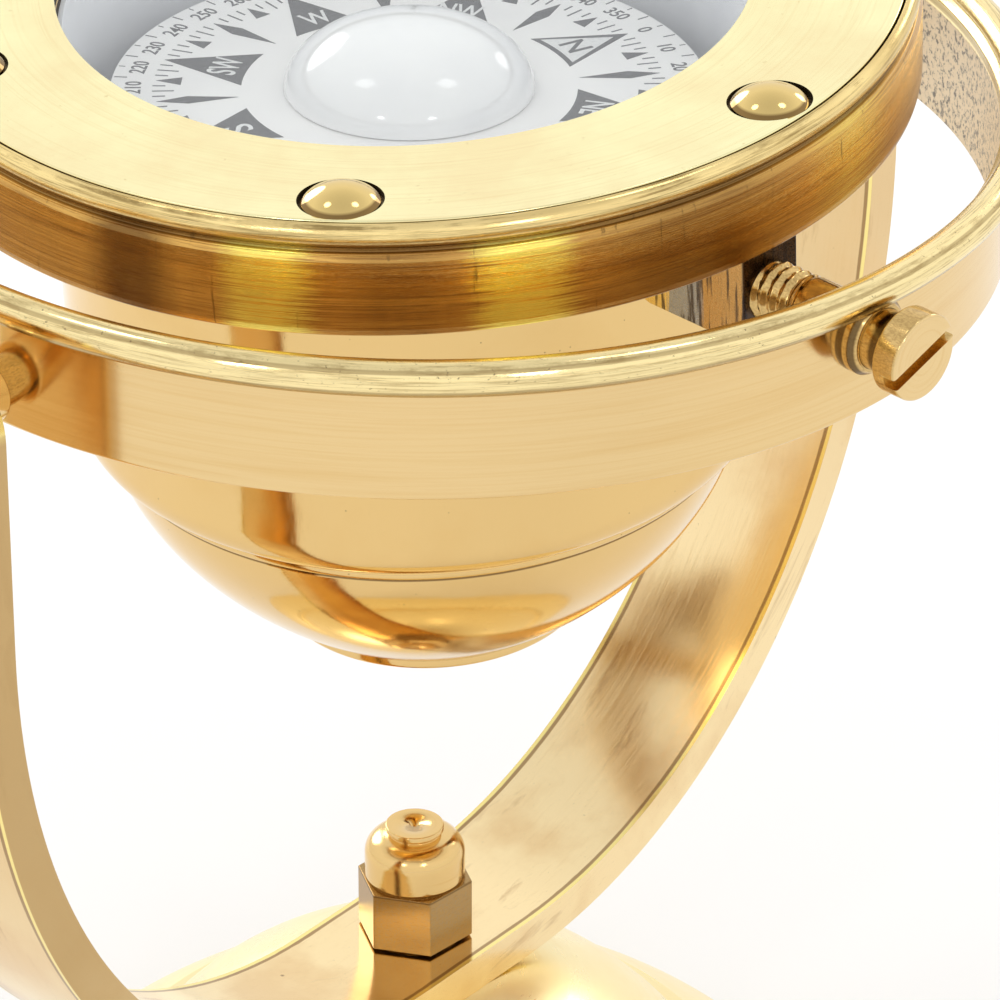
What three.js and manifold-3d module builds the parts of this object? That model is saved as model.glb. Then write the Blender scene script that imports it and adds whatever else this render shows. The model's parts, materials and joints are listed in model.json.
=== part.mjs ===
// Gimballed binnacle compass: a liquid compass bowl hung in a ring, hung in a yoke on a round base.
// Millimetres, +Z up, origin at the centre of the base's underside.
// +X is the ring's hinge axis, through the two yoke arms.

import * as THREE from 'three';
import { mergeVertices } from 'three/addons/utils/BufferGeometryUtils.js';
import Module from 'manifold-3d';

// ---------- driving dimensions ----------

const CENTRE_Z = 166;            // height of the gimbal ring's centre above the table
const PIN_RISE = -2.7;           // height of the yoke's hinge axis from the ring's centre
const SCREW_RISE = 2.4;          // height of the bowl's hinge axis from the ring's centre
const HINGE_Z = CENTRE_Z + PIN_RISE;
const GAP = 0.3;                 // clearance between pieces that sit on each other
const RUNNING = 0.1;             // radial clearance of a shaft in its hole
const RING_LEAN = 1.4;           // degrees the ring rests off level, about +X
const BOWL_LEAN = 4.5;           // degrees the bowl rests off the ring's plane
const BOWL_AXIS = -95.4;         // direction of the bowl's hinge axis, degrees from +X
const CARD_HEADING = -21;        // direction of the card's north point, degrees from +X

// Heights of the bowl, the ring and their fittings are from the ring's centre.
const BEZEL_R = 63.5;            // a 5 inch bezel
const BEZEL_TOP = 25;
const BEZEL_BOTTOM = 10.6;
const FACE_R = 61.9;             // outer edge of the bezel's flat face
const OPENING_R = 42.9;
const LIP = 1.3;
const FACE_FALL = 0.9;
const PLATE_BOTTOM = 20.2;
const BEAD_R = 1.5;              // rounded upper edge of the bezel's band
const RIVET_R = 56.4;
const RIVET_HEAD_R = 4.9;
const RIVET_RISE = 1.9;
const RIVET_SHANK_R = 1.6;
const RIVET_ANGLES = [-148, -91, -30, 30, 90, 151];

const BOWL_R = 44.9;
const BOWL_WALL = 1.8;
const FLANGE_R = 60.8;
const FLANGE_TOP = 19.9;
const FLANGE_THICK = 3;
const SHOULDER_Z = -31.5;
const SHOULDER_R = 42.2;
const SHOULDER_LOW = -36.1;
const CUP_TOP = -38.1;
const CUP_R = 40.8;
const CUP_WAIST = { r: 37.8, z: -51.6 };
const CUP_LOW = { r: 21.4, z: -63.9 };
const CUP_WALL = 2;
const CAP_R = 20.6;
const CAP_BOTTOM = -65.7;

const GLASS_R = 48.2;
const GLASS_THICK = 2.4;
const GASKET_INNER_R = 44.6;
const GASKET_THICK = 0.7;
const LINER_R = 42.8;
const LINER_WALL = 0.7;
const LINER_FLOOR = -20;

const CARD_Z = 7.5;
const CARD_R = 37.2;
const CARD_THICK = 0.8;
const DOME_R = 15.6;
const DOME_RISE = 8.7;
const DOME_WALL = 1;
const HUB_R = 2.8;
const HUB_RISE = 5;
const MAGNET = { length: 30, width: 3, height: 3, offset: 8 };
const POST_R = 1.4;
const LUBBER_ANGLE = 38;

const RING_INNER_R = 73.2;
const RING_WALL = 1.8;
const RING_BOTTOM = -8.3;
const RING_BEAD_R = 2.2;
const RING_BEAD_CENTRE = 76.2;
const RING_BEAD_Z = 8.3;

const PIVOT_SHANK_R = 3.8;
const PIVOT_HEAD_R = 5.4;
const PIVOT_HEAD_START = 80.4;
const PIVOT_HEAD_LENGTH = 3.5;
const PIVOT_TIP = 49;
const PIVOT_SLOT_TURN = 16;
const BUSH_R = 4.9;
const BUSH_END = 77.2;
const BLOCK_OUTER = 60;
const BLOCK_WIDTH = 9.6;
const BLOCK_HEIGHT = 12;

const YOKE_HALF = 86;            // inside half width between the arms
const YOKE_THICK = 5.4;
const YOKE_WIDTH = 21.8;
const YOKE_FLOOR = 49.3;         // top of the yoke's flat floor
const YOKE_FLAT = 10;            // half length of the flat floor
const YOKE_BEND_TOP = 135.7;     // the arms are straight above this height
const YOKE_POWER = 2.05;
const YOKE_SCREW_R = 3;
const YOKE_SCREW_HEAD_R = 6;
const YOKE_SCREW_HEAD = 4;
const COLLAR_R = 4;
const COLLAR_START = 77.6;

const NUT_FLATS = 13.65;
const NUT_HEX = 8.8;
const NUT_HEIGHT = 16.6;
const NUT_DISC_R = 3.9;
const NUT_TURN = 24.6;
const STUD_R = 4;

const BASE_R = 63.5;
const BASE_RIM = 4;
const BASE_CLEAR = 0.6;
const BASE_BELLY = { r: 54, z: 17 };
const DOME_TOP_R = 11;
const BASE_DOME_R = 49;
const BASE_DOME_EDGE = 41;
const BASE_SKIRT_TOP = 23;
const BASE_WALL = 2;
const FELT_R = 60.6;
const FELT_THICK = 2;

const BIG = 44;                  // facets round the large turned pieces
const MEDIUM = 24;
const SMALL = 12;
const CUT = 20;

// ---------- materials ----------

const polishedBrass = new THREE.MeshStandardMaterial({ color: 0xe8c069, roughness: 0.12, metalness: 1 });
const brushedBrass = new THREE.MeshStandardMaterial({ color: 0xddb96c, roughness: 0.32, metalness: 1 });
const darkBrass = new THREE.MeshStandardMaterial({ color: 0xb98a38, roughness: 0.25, metalness: 1 });
const steel = new THREE.MeshStandardMaterial({ color: 0x9a9c9e, roughness: 0.35, metalness: 1 });
const iron = new THREE.MeshStandardMaterial({ color: 0x3b3a38, roughness: 0.7, metalness: 0.8 });
const felt = new THREE.MeshStandardMaterial({ color: 0x1f4a30, roughness: 1, metalness: 0 });
const rubber = new THREE.MeshStandardMaterial({ color: 0x1b1b1b, roughness: 0.8, metalness: 0 });
const whitePaint = new THREE.MeshStandardMaterial({ color: 0xe9ebec, roughness: 0.5, metalness: 0 });
const cardPaper = new THREE.MeshStandardMaterial({ color: 0xf4f4f0, roughness: 0.6, metalness: 0 });
const floatWhite = new THREE.MeshStandardMaterial({ color: 0xf3f2ec, roughness: 0.15, metalness: 0 });
const glassClear = new THREE.MeshStandardMaterial({
    color: 0xffffff, roughness: 0.02, metalness: 0, transparent: true, opacity: 0.2 });

// ---------- geometry helpers ----------

const wasm = await Module();
wasm.setup();

const rad = THREE.MathUtils.degToRad;
const point = (r, z) => new THREE.Vector2(r, z);

// A body turned about +Z from a profile of [radius, height] points, anticlockwise.
function turned(profile, segments) {
    const geometry = new THREE.LatheGeometry(profile.map(([r, z]) => point(r, z)), segments);
    return geometry.rotateX(Math.PI / 2);
}

// A turned body whose profile is a closed loop that doesn't touch the axis.
function turnedRing(profile, segments) {
    return turned([...profile, profile[0]], segments);
}

function disc(radius, bottom, top, segments) {
    return turned([[0, bottom], [radius, bottom], [radius, top], [0, top]], segments);
}

function washer(inner, outer, bottom, top, segments) {
    return turnedRing([[inner, bottom], [outer, bottom], [outer, top], [inner, top]], segments);
}

function box(x, y, z, cx, cy, cz) {
    return new THREE.BoxGeometry(x, y, z).translate(cx, cy, cz);
}

// Points on an arc from one angle to another, in degrees, both ends included.
function arc(cr, cz, rr, rz, from, to, steps) {
    const points = [];
    for (let i = 0; i <= steps; i += 1) {
        const angle = rad(from + (to - from) * i / steps);
        const radius = cr + rr * Math.cos(angle);
        points.push([Math.abs(radius) < 1e-6 ? 0 : radius, cz + rz * Math.sin(angle)]);
    }
    return points;
}

// Lays a body turned about +Z along a horizontal direction, its +Z pointing outwards.
function alongAxis(geometry, degrees) {
    return geometry.rotateY(Math.PI / 2).rotateZ(rad(degrees));
}

function toSolid(geometry) {
    const plain = geometry.clone();
    plain.deleteAttribute('normal');
    plain.deleteAttribute('uv');
    const merged = mergeVertices(plain, 1e-4);
    return new wasm.Manifold(new wasm.Mesh({
        numProp: 3,
        vertProperties: new Float32Array(merged.attributes.position.array),
        triVerts: new Uint32Array(merged.index.array),
    }));
}

function toGeometry(solid) {
    const mesh = solid.getMesh();
    const geometry = new THREE.BufferGeometry();
    geometry.setAttribute('position', new THREE.BufferAttribute(mesh.vertProperties, 3));
    geometry.setIndex(new THREE.BufferAttribute(mesh.triVerts, 1));
    return geometry;
}

function cut(geometry, ...tools) {
    return toGeometry(tools.reduce((solid, tool) => solid.subtract(toSolid(tool)), toSolid(geometry)));
}

function common(geometry, other) {
    return toGeometry(toSolid(geometry).intersect(toSolid(other)));
}

function add(group, name, geometry, material) {
    geometry.computeVertexNormals();
    const mesh = new THREE.Mesh(geometry, material);
    mesh.name = name;
    group.add(mesh);
    return mesh;
}

// ---------- base ----------

// Outer line of the base from its rim up to the flat under the yoke.
function baseLine(inset, steps) {
    const skirt = new THREE.QuadraticBezierCurve(
        point(BASE_R - inset, BASE_RIM - inset / 2),
        point(BASE_BELLY.r - inset, BASE_BELLY.z - inset),
        point(BASE_DOME_EDGE + 2 - inset / 2, BASE_SKIRT_TOP - inset),
    ).getPoints(steps).map((p) => [p.x, p.y]);
    const radius = BASE_DOME_R - inset;
    const top = YOKE_FLOOR - YOKE_THICK - inset;
    const centre = top - Math.sqrt(radius ** 2 - DOME_TOP_R ** 2);
    const start = THREE.MathUtils.radToDeg(Math.acos((BASE_DOME_EDGE - inset) / radius));
    const end = THREE.MathUtils.radToDeg(Math.acos(DOME_TOP_R / radius));
    return [...skirt, ...arc(0, centre, radius, radius, start, end, steps + 1)];
}

function baseShell() {
    const top = YOKE_FLOOR - YOKE_THICK;
    const hole = STUD_R + GAP;
    const outer = baseLine(0, 5);
    const inner = baseLine(BASE_WALL, 2).reverse();
    return turnedRing([
        [BASE_R, BASE_CLEAR],
        ...outer,
        [hole, top],
        [hole, top - BASE_WALL],
        ...inner,
        [BASE_R - BASE_WALL, BASE_CLEAR],
    ], BIG);
}

function baseWeight() {
    const low = FELT_THICK + GAP;
    return turnedRing([[14, low], [57, low], [57, low + 1.5], [47, 11], [14, 11]], MEDIUM);
}

function hexPrism(flats, bottom, top) {
    const geometry = new THREE.CylinderGeometry(flats / Math.sqrt(3), flats / Math.sqrt(3), top - bottom, 6);
    return geometry.rotateX(Math.PI / 2).translate(0, 0, (bottom + top) / 2);
}

function acornNut() {
    const low = YOKE_FLOOR;
    const corner = NUT_FLATS / Math.sqrt(3);
    const neck = NUT_FLATS / 2 - 0.05;
    const hex = hexPrism(NUT_FLATS, low, low + NUT_HEX);
    const chamfer = turned([
        [0, low], [corner - 0.4, low], [corner, low + 0.5], [corner, low + NUT_HEX - 1.6],
        [neck + 0.1, low + NUT_HEX], [0, low + NUT_HEX],
    ], MEDIUM);
    const straight = low + NUT_HEX + 4;
    const shoulder = 2.8;
    const dome = turned([
        [0, low + 1], [neck - 0.1, low + 1],
        ...arc(neck - 0.1 - shoulder, straight, shoulder, shoulder * 1.1, 0, 70, 4),
        [NUT_DISC_R - 0.1, low + NUT_HEIGHT - 1], [NUT_DISC_R, low + NUT_HEIGHT - 0.2],
        [NUT_DISC_R - 0.2, low + NUT_HEIGHT], [0, low + NUT_HEIGHT],
    ], MEDIUM);
    const body = toSolid(common(hex, chamfer)).add(toSolid(dome));
    const bore = disc(STUD_R + GAP, low - 1, low + 13, SMALL);
    return toGeometry(body.subtract(toSolid(bore))).rotateZ(rad(NUT_TURN));
}

function buildBase(group) {
    const top = YOKE_FLOOR - YOKE_THICK;
    const under = top - BASE_WALL;
    add(group, 'base_felt', disc(FELT_R, 0, FELT_THICK, BIG), felt);
    add(group, 'base_shell', baseShell(), polishedBrass);
    add(group, 'base_weight', baseWeight(), iron);
    add(group, 'base_washer', washer(STUD_R + GAP, 10, under - 1.8, under, MEDIUM), steel);
    add(group, 'base_nut', cut(hexPrism(13, under - 8.3, under - 1.8),
        disc(STUD_R + GAP, under - 10, under, SMALL)), steel);
    add(group, 'base_stud', disc(STUD_R, under - 11, YOKE_FLOOR + 12, SMALL), steel);
    add(group, 'acorn_nut', acornNut(), brushedBrass);
}

// ---------- yoke ----------

// Half of the yoke's U line, from the middle of the floor up an arm, pushed out by offset.
function yokeLine(offset) {
    const across = YOKE_HALF - YOKE_FLAT + offset;
    const down = YOKE_BEND_TOP - YOKE_FLOOR + offset;
    const points = [];
    const steps = 14;
    for (let i = 0; i <= steps; i += 1) {
        const angle = Math.PI / 2 * (1 - i / steps);
        const x = Math.cos(angle) ** (2 / YOKE_POWER);
        const z = Math.sin(angle) ** (2 / YOKE_POWER);
        points.push([YOKE_FLAT + across * x, YOKE_BEND_TOP - down * z]);
    }
    return points;
}

function yokeBlank() {
    const top = HINGE_Z + YOKE_WIDTH;
    const half = (offset) => [...yokeLine(offset), [YOKE_HALF + offset, top]];
    const mirror = (points) => points.map(([x, z]) => [-x, z]).reverse();
    const outer = [...mirror(half(YOKE_THICK)), ...half(YOKE_THICK)];
    const inner = [...mirror(half(0)), ...half(0)].reverse();
    const shape = new THREE.Shape([...outer, ...inner].map(([x, z]) => point(x, z)));
    const geometry = new THREE.ExtrudeGeometry(shape, { depth: YOKE_WIDTH, bevelEnabled: false });
    return geometry.translate(0, 0, -YOKE_WIDTH / 2).rotateX(Math.PI / 2);
}

// The side view that rounds the arms' upper ends about the hinge axis.
function yokeEnds() {
    const half = YOKE_WIDTH / 2;
    const shape = new THREE.Shape();
    shape.moveTo(-half - 1, 0);
    shape.lineTo(half + 1, 0);
    shape.lineTo(half + 1, HINGE_Z - 5);
    shape.lineTo(half, HINGE_Z);
    shape.absarc(0, HINGE_Z, half, 0, Math.PI, false);
    shape.lineTo(-half - 1, HINGE_Z - 5);
    const length = 2 * (YOKE_HALF + YOKE_THICK) + 10;
    const settings = { depth: length, bevelEnabled: false, curveSegments: 16 };
    const geometry = new THREE.ExtrudeGeometry(shape, settings);
    return geometry.translate(0, 0, -length / 2).rotateY(Math.PI / 2).rotateX(Math.PI / 2);
}

function buildYoke(group) {
    const reach = YOKE_HALF + YOKE_THICK + 5;
    const pinHole = alongAxis(disc(YOKE_SCREW_R + GAP, -reach, reach, CUT), 0).translate(0, 0, HINGE_Z);
    const studHole = disc(STUD_R + GAP, YOKE_FLOOR - YOKE_THICK - 3, YOKE_FLOOR + 3, CUT);
    add(group, 'yoke', cut(common(yokeBlank(), yokeEnds()), pinHole, studHole), polishedBrass);
    for (const [side, degrees] of [['right', 0], ['left', 180]]) {
        const arm = YOKE_HALF + YOKE_THICK;
        const headTop = arm + YOKE_SCREW_HEAD;
        const screw = turned([
            [0, RING_INNER_R - 1], [YOKE_SCREW_R - 0.6, RING_INNER_R - 1],
            [YOKE_SCREW_R, RING_INNER_R - 0.4],
            [YOKE_SCREW_R, arm], [YOKE_SCREW_HEAD_R, arm], [YOKE_SCREW_HEAD_R, headTop - 1.6],
            [YOKE_SCREW_HEAD_R - 1, headTop - 0.5], [YOKE_SCREW_HEAD_R - 2.6, headTop], [0, headTop],
        ], CUT);
        const slot = box(1.4, 14, 3.6, 0, 0, headTop);
        const collar = washer(YOKE_SCREW_R + GAP, COLLAR_R, COLLAR_START, YOKE_HALF, CUT);
        const lift = (geometry) => alongAxis(geometry, degrees).translate(0, 0, HINGE_Z);
        add(group, `yoke_screw_${side}`, lift(cut(screw, slot)), brushedBrass);
        add(group, `yoke_collar_${side}`, lift(collar), brushedBrass);
    }
}

// ---------- gimbal ring ----------

function gimbalRing() {
    const outer = RING_INNER_R + RING_WALL;
    const bead = arc(RING_BEAD_CENTRE, RING_BEAD_Z, RING_BEAD_R, RING_BEAD_R, -110, 180, 8);
    const blank = turnedRing([
        [RING_INNER_R, RING_BOTTOM], [outer, RING_BOTTOM], [outer, RING_BEAD_Z - RING_BEAD_R],
        ...bead, [RING_INNER_R, RING_BEAD_Z - 0.7],
    ], BIG);
    const reach = RING_INNER_R + 10;
    const pinHole = alongAxis(disc(YOKE_SCREW_R + RUNNING, -reach, reach, CUT), 0).translate(0, 0, PIN_RISE);
    const bushBlank = alongAxis(disc(BUSH_R + GAP, -reach, reach, CUT), BOWL_AXIS);
    const bushHole = bushBlank.translate(0, 0, SCREW_RISE);
    return cut(blank, pinHole, bushHole);
}

function buildRing(group) {
    add(group, 'gimbal_ring', gimbalRing(), brushedBrass);
    for (const [side, degrees] of [['front', BOWL_AXIS], ['back', BOWL_AXIS + 180]]) {
        const bush = washer(PIVOT_SHANK_R + RUNNING, BUSH_R, RING_INNER_R - 1, BUSH_END, CUT);
        add(group, `ring_bush_${side}`, alongAxis(bush, degrees).translate(0, 0, SCREW_RISE), brushedBrass);
    }
}

// ---------- compass bowl ----------

// The bowl's side: a tube whose lower edge rolls in to meet the cup.
function bowlBody() {
    const inner = BOWL_R - BOWL_WALL;
    const roll = BOWL_R - SHOULDER_R;
    const low = SHOULDER_Z - SHOULDER_LOW;
    return turnedRing([
        [CUP_R - 5, SHOULDER_LOW],
        ...arc(BOWL_R - roll, SHOULDER_Z, roll, low, -90, 0, 4),
        [BOWL_R, FLANGE_TOP],
        [inner, FLANGE_TOP],
        [inner, SHOULDER_Z],
        [CUP_R - 5, SHOULDER_LOW + BOWL_WALL],
    ], BIG);
}

function bowlFlange() {
    return washer(BOWL_R + GAP, FLANGE_R, FLANGE_TOP - FLANGE_THICK, FLANGE_TOP, BIG);
}

// The closed cup under the bowl, with a bead where it meets the side.
function bowlCup() {
    const line = (inset, steps) => new THREE.QuadraticBezierCurve(
        point(CUP_LOW.r - inset / 2, CUP_LOW.z + inset),
        point(CUP_WAIST.r - inset, CUP_WAIST.z + inset),
        point(CUP_R - inset, CUP_TOP - 0.6),
    ).getPoints(steps).map((p) => [p.x, p.y]);
    const top = SHOULDER_LOW - GAP;
    return turnedRing([
        [CAP_R - 4, CUP_LOW.z],
        ...line(0, 7),
        [CUP_R + 0.3, CUP_TOP],
        [CUP_R + 0.6, CUP_TOP + 0.6],
        [CUP_R + 0.3, CUP_TOP + 1.2],
        [CUP_R - 0.2, top],
        [CUP_R - CUP_WALL, top],
        ...line(CUP_WALL, 4).reverse(),
        [CAP_R - 4, CUP_LOW.z + CUP_WALL],
    ], BIG);
}

function bowlCap() {
    const top = CUP_LOW.z - GAP;
    const spigot = CAP_R - 4 - GAP;
    return turned([
        [0, CAP_BOTTOM], [CAP_R - 0.6, CAP_BOTTOM], [CAP_R, CAP_BOTTOM + 0.5], [CAP_R, top - 0.4],
        [CAP_R - 0.3, top], [spigot, top], [spigot, top + 2], [0, top + 2],
    ], BIG);
}

// The flat face of the bezel, whose lip holds the glass down.
function bezelPlate() {
    const blank = turnedRing([
        [OPENING_R, BEZEL_TOP - LIP],
        [GLASS_R + 0.4, BEZEL_TOP - LIP],
        [GLASS_R + 0.4, PLATE_BOTTOM],
        [FACE_R, PLATE_BOTTOM],
        [FACE_R, BEZEL_TOP - 0.2],
        [FACE_R - 0.2, BEZEL_TOP],
        [OPENING_R + 0.4, BEZEL_TOP - FACE_FALL],
        [OPENING_R, BEZEL_TOP - FACE_FALL - 0.2],
    ], BIG);
    return cut(blank, ...RIVET_ANGLES.map((degrees) => rivetHole(degrees)));
}

// The band that hangs round the bezel's face, with a bead along its upper edge.
function bezelBand() {
    const inner = FACE_R + GAP;
    const beadZ = BEZEL_TOP - BEAD_R;
    return turnedRing([
        [inner, BEZEL_BOTTOM],
        [BEZEL_R, BEZEL_BOTTOM],
        [BEZEL_R, beadZ - BEAD_R - 0.9],
        [BEZEL_R - 0.5, beadZ - BEAD_R - 0.4],
        [BEZEL_R - 0.5, beadZ - BEAD_R + 0.1],
        ...arc(BEZEL_R - BEAD_R, beadZ, BEAD_R, BEAD_R, -30, 75, 4),
        [inner, beadZ + BEAD_R - 0.1],
    ], BIG);
}

function rivetHole(degrees) {
    const hole = disc(RIVET_SHANK_R + GAP, PLATE_BOTTOM - 3, BEZEL_TOP + 3, SMALL);
    return hole.translate(RIVET_R * Math.cos(rad(degrees)), RIVET_R * Math.sin(rad(degrees)), 0);
}

function rivet(degrees) {
    const seat = BEZEL_TOP + GAP / 3;
    const head = arc(0, seat + 0.5, RIVET_HEAD_R, RIVET_RISE - 0.5, 0, 90, 3);
    const shape = turned([
        [0, PLATE_BOTTOM], [RIVET_SHANK_R, PLATE_BOTTOM], [RIVET_SHANK_R, seat],
        [RIVET_HEAD_R, seat], ...head.slice(0, -1), [0, seat + RIVET_RISE],
    ], SMALL);
    return shape.translate(RIVET_R * Math.cos(rad(degrees)), RIVET_R * Math.sin(rad(degrees)), 0);
}

// The post that carries the card, with a needle point on top.
function pivotPost() {
    const foot = LINER_FLOOR + LINER_WALL + GAP;
    const tip = CARD_Z + 2.6;
    return turned([
        [0, foot], [7, foot], [7, foot + 2], [POST_R + 1, foot + 3.5], [POST_R, foot + 5],
        [POST_R, tip - 4], [0, tip],
    ], SMALL);
}

function pivotScrew(degrees) {
    const end = PIVOT_HEAD_START + PIVOT_HEAD_LENGTH;
    const shape = turned([
        [0, PIVOT_TIP], [PIVOT_SHANK_R - 0.8, PIVOT_TIP], [PIVOT_SHANK_R, PIVOT_TIP + 1],
        [PIVOT_SHANK_R, PIVOT_HEAD_START], [PIVOT_HEAD_R - 0.3, PIVOT_HEAD_START],
        [PIVOT_HEAD_R, PIVOT_HEAD_START + 0.3], [PIVOT_HEAD_R, end - 0.4],
        [PIVOT_HEAD_R - 0.4, end], [0, end],
    ], CUT);
    const slot = box(1.5, 2 * PIVOT_HEAD_R + 2, 3.6, 0, 0, end).rotateZ(rad(PIVOT_SLOT_TURN));
    return alongAxis(cut(shape, slot), degrees).translate(0, 0, SCREW_RISE);
}

function pivotBlock(degrees) {
    const inner = BOWL_R + GAP;
    const length = BLOCK_OUTER - inner + 2;
    const blank = box(BLOCK_HEIGHT, BLOCK_WIDTH, length, 0, 0, BLOCK_OUTER - length / 2);
    const bore = disc(PIVOT_SHANK_R + GAP, 40, BLOCK_OUTER + 3, CUT);
    const placed = alongAxis(cut(blank, bore), degrees);
    return cut(placed, disc(inner, -BLOCK_HEIGHT, BLOCK_HEIGHT, BIG)).translate(0, 0, SCREW_RISE);
}

function buildBowl(group) {
    add(group, 'bowl_body', bowlBody(), polishedBrass);
    add(group, 'bowl_flange', bowlFlange(), brushedBrass);
    add(group, 'bowl_cup', bowlCup(), polishedBrass);
    add(group, 'bowl_cap', bowlCap(), polishedBrass);
    add(group, 'bowl_weight', turned([
        [0, -61], [14, -61], [22, -56], [22, -53], [0, -53]], MEDIUM), iron);
    const wall = LINER_R - LINER_WALL;
    add(group, 'bowl_liner', turned([
        [0, LINER_FLOOR], [LINER_R, LINER_FLOOR], [LINER_R, FLANGE_TOP - 0.4], [wall, FLANGE_TOP - 0.4],
        [wall, LINER_FLOOR + LINER_WALL], [0, LINER_FLOOR + LINER_WALL],
    ], BIG), whitePaint);
    add(group, 'pivot_post', pivotPost(), brushedBrass);
    const lubber = box(1.6, 0.8, 9, wall - 1.2, 0, CARD_Z + 4).rotateZ(rad(LUBBER_ANGLE));
    add(group, 'lubber_line', lubber, rubber);
    const gasketLow = FLANGE_TOP + GAP;
    add(group, 'gasket', washer(GASKET_INNER_R, GLASS_R, gasketLow, gasketLow + GASKET_THICK, BIG), rubber);
    const glassLow = gasketLow + GASKET_THICK + 0.1;
    add(group, 'glass', disc(GLASS_R, glassLow, glassLow + GLASS_THICK, BIG), glassClear);
    add(group, 'bezel_plate', bezelPlate(), brushedBrass);
    add(group, 'bezel_band', bezelBand(), darkBrass);
    RIVET_ANGLES.forEach((degrees, index) => {
        add(group, `bezel_screw_${index + 1}`, rivet(degrees), polishedBrass);
    });
    for (const [side, degrees] of [['front', BOWL_AXIS], ['back', BOWL_AXIS + 180]]) {
        add(group, `pivot_screw_${side}`, pivotScrew(degrees), brushedBrass);
        add(group, `pivot_block_${side}`, pivotBlock(degrees), darkBrass);
    }
}

// ---------- compass card ----------

function floatDome() {
    const low = CARD_THICK / 2 + 0.1;
    const outer = arc(0, low, DOME_R, DOME_RISE, 0, 90, 6);
    const inner = arc(0, low, DOME_R - DOME_WALL, DOME_RISE - DOME_WALL, 90, 0, 4);
    return turned([...inner, ...outer], MEDIUM);
}

function buildCard(group) {
    const half = CARD_THICK / 2;
    add(group, 'card', washer(HUB_R + GAP, CARD_R, -half, half, BIG), cardPaper);
    add(group, 'float_dome', floatDome(), floatWhite);
    const hub = turned([
        [0, 2.9], [1.4, 0.2], [2, -half], [HUB_R, -half], [HUB_R, HUB_RISE], [0, HUB_RISE],
    ], SMALL);
    add(group, 'card_hub', hub, brushedBrass);
    [1, -1].forEach((side, index) => {
        const { length, width, height, offset } = MAGNET;
        const bar = box(length, width, height, 0, side * offset, -half - height / 2);
        add(group, `card_magnet_${index + 1}`, bar, steel);
    });
}

// ---------- assembly ----------

const compass = new THREE.Group();
buildBase(compass);
buildYoke(compass);

// A group that leans about an axis at a height, and is otherwise in its parent's frame.
function hinged(parent, height, axis, degrees) {
    const hinge = new THREE.Group();
    hinge.position.z = height;
    hinge.quaternion.setFromAxisAngle(axis, rad(degrees));
    parent.add(hinge);
    const inner = new THREE.Group();
    inner.position.z = -height;
    hinge.add(inner);
    return inner;
}

const centreGroup = new THREE.Group();
centreGroup.position.z = CENTRE_Z;
compass.add(centreGroup);

const ringAxis = new THREE.Vector3(1, 0, 0);
const ringGroup = hinged(centreGroup, PIN_RISE, ringAxis, RING_LEAN);
buildRing(ringGroup);

const bowlAxis = new THREE.Vector3(Math.cos(rad(BOWL_AXIS)), Math.sin(rad(BOWL_AXIS)), 0);
const bowlGroup = hinged(ringGroup, SCREW_RISE, bowlAxis, BOWL_LEAN);
buildBowl(bowlGroup);

// The card floats level whatever the bowl's lean, and points north.
const cardGroup = new THREE.Group();
const level = ringGroup.parent.quaternion.clone().multiply(bowlGroup.parent.quaternion).invert();
const heading = new THREE.Quaternion().setFromAxisAngle(new THREE.Vector3(0, 0, 1), rad(CARD_HEADING));
cardGroup.quaternion.copy(level.multiply(heading));
cardGroup.position.z = CARD_Z;
bowlGroup.add(cardGroup);
buildCard(cardGroup);

export default compass;
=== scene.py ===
# Gimballed brass compass: fine meshes, finishes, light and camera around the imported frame.
# Sizes are in millimetres until a mesh is made. Each piece is drawn in the frame of the part it belongs to.
import json
import math

import bmesh
import bpy
import numpy as np
from mathutils import Matrix, Vector


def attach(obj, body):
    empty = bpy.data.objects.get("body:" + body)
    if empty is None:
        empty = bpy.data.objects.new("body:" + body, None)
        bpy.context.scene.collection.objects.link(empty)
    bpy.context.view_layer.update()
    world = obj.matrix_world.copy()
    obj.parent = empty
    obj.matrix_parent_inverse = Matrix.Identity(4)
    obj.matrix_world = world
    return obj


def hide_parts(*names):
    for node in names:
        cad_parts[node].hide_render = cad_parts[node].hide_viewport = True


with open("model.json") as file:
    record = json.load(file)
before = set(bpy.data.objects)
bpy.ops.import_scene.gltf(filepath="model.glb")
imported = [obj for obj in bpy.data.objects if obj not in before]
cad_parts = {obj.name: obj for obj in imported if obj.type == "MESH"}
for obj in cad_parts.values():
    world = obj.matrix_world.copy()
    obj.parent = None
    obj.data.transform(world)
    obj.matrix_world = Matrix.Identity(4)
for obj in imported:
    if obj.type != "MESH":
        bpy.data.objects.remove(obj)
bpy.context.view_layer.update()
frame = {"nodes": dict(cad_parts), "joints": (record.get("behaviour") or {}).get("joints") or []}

MM = 0.001
NODES = frame["nodes"]
JOINTS = {joint["name"]: joint for joint in frame["joints"]}

# ---------- driving dimensions, as in the part's source ----------

BEZEL_R, BEZEL_TOP, BEZEL_BOTTOM = 63.5, 25, 10.6
FACE_R, OPENING_R, LIP, PLATE_BOTTOM, FACE_FALL = 61.9, 42.9, 1.3, 20.2, 0.9
BEAD_R = 1.5
RIVET_R, RIVET_HEAD_R, RIVET_RISE = 56.4, 4.65, 1.9
RIVET_ANGLES = (-148, -91, -30, 30, 90, 151)
RECESS_DEPTH, RECESS_GAP = 1.3, 0.45

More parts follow.
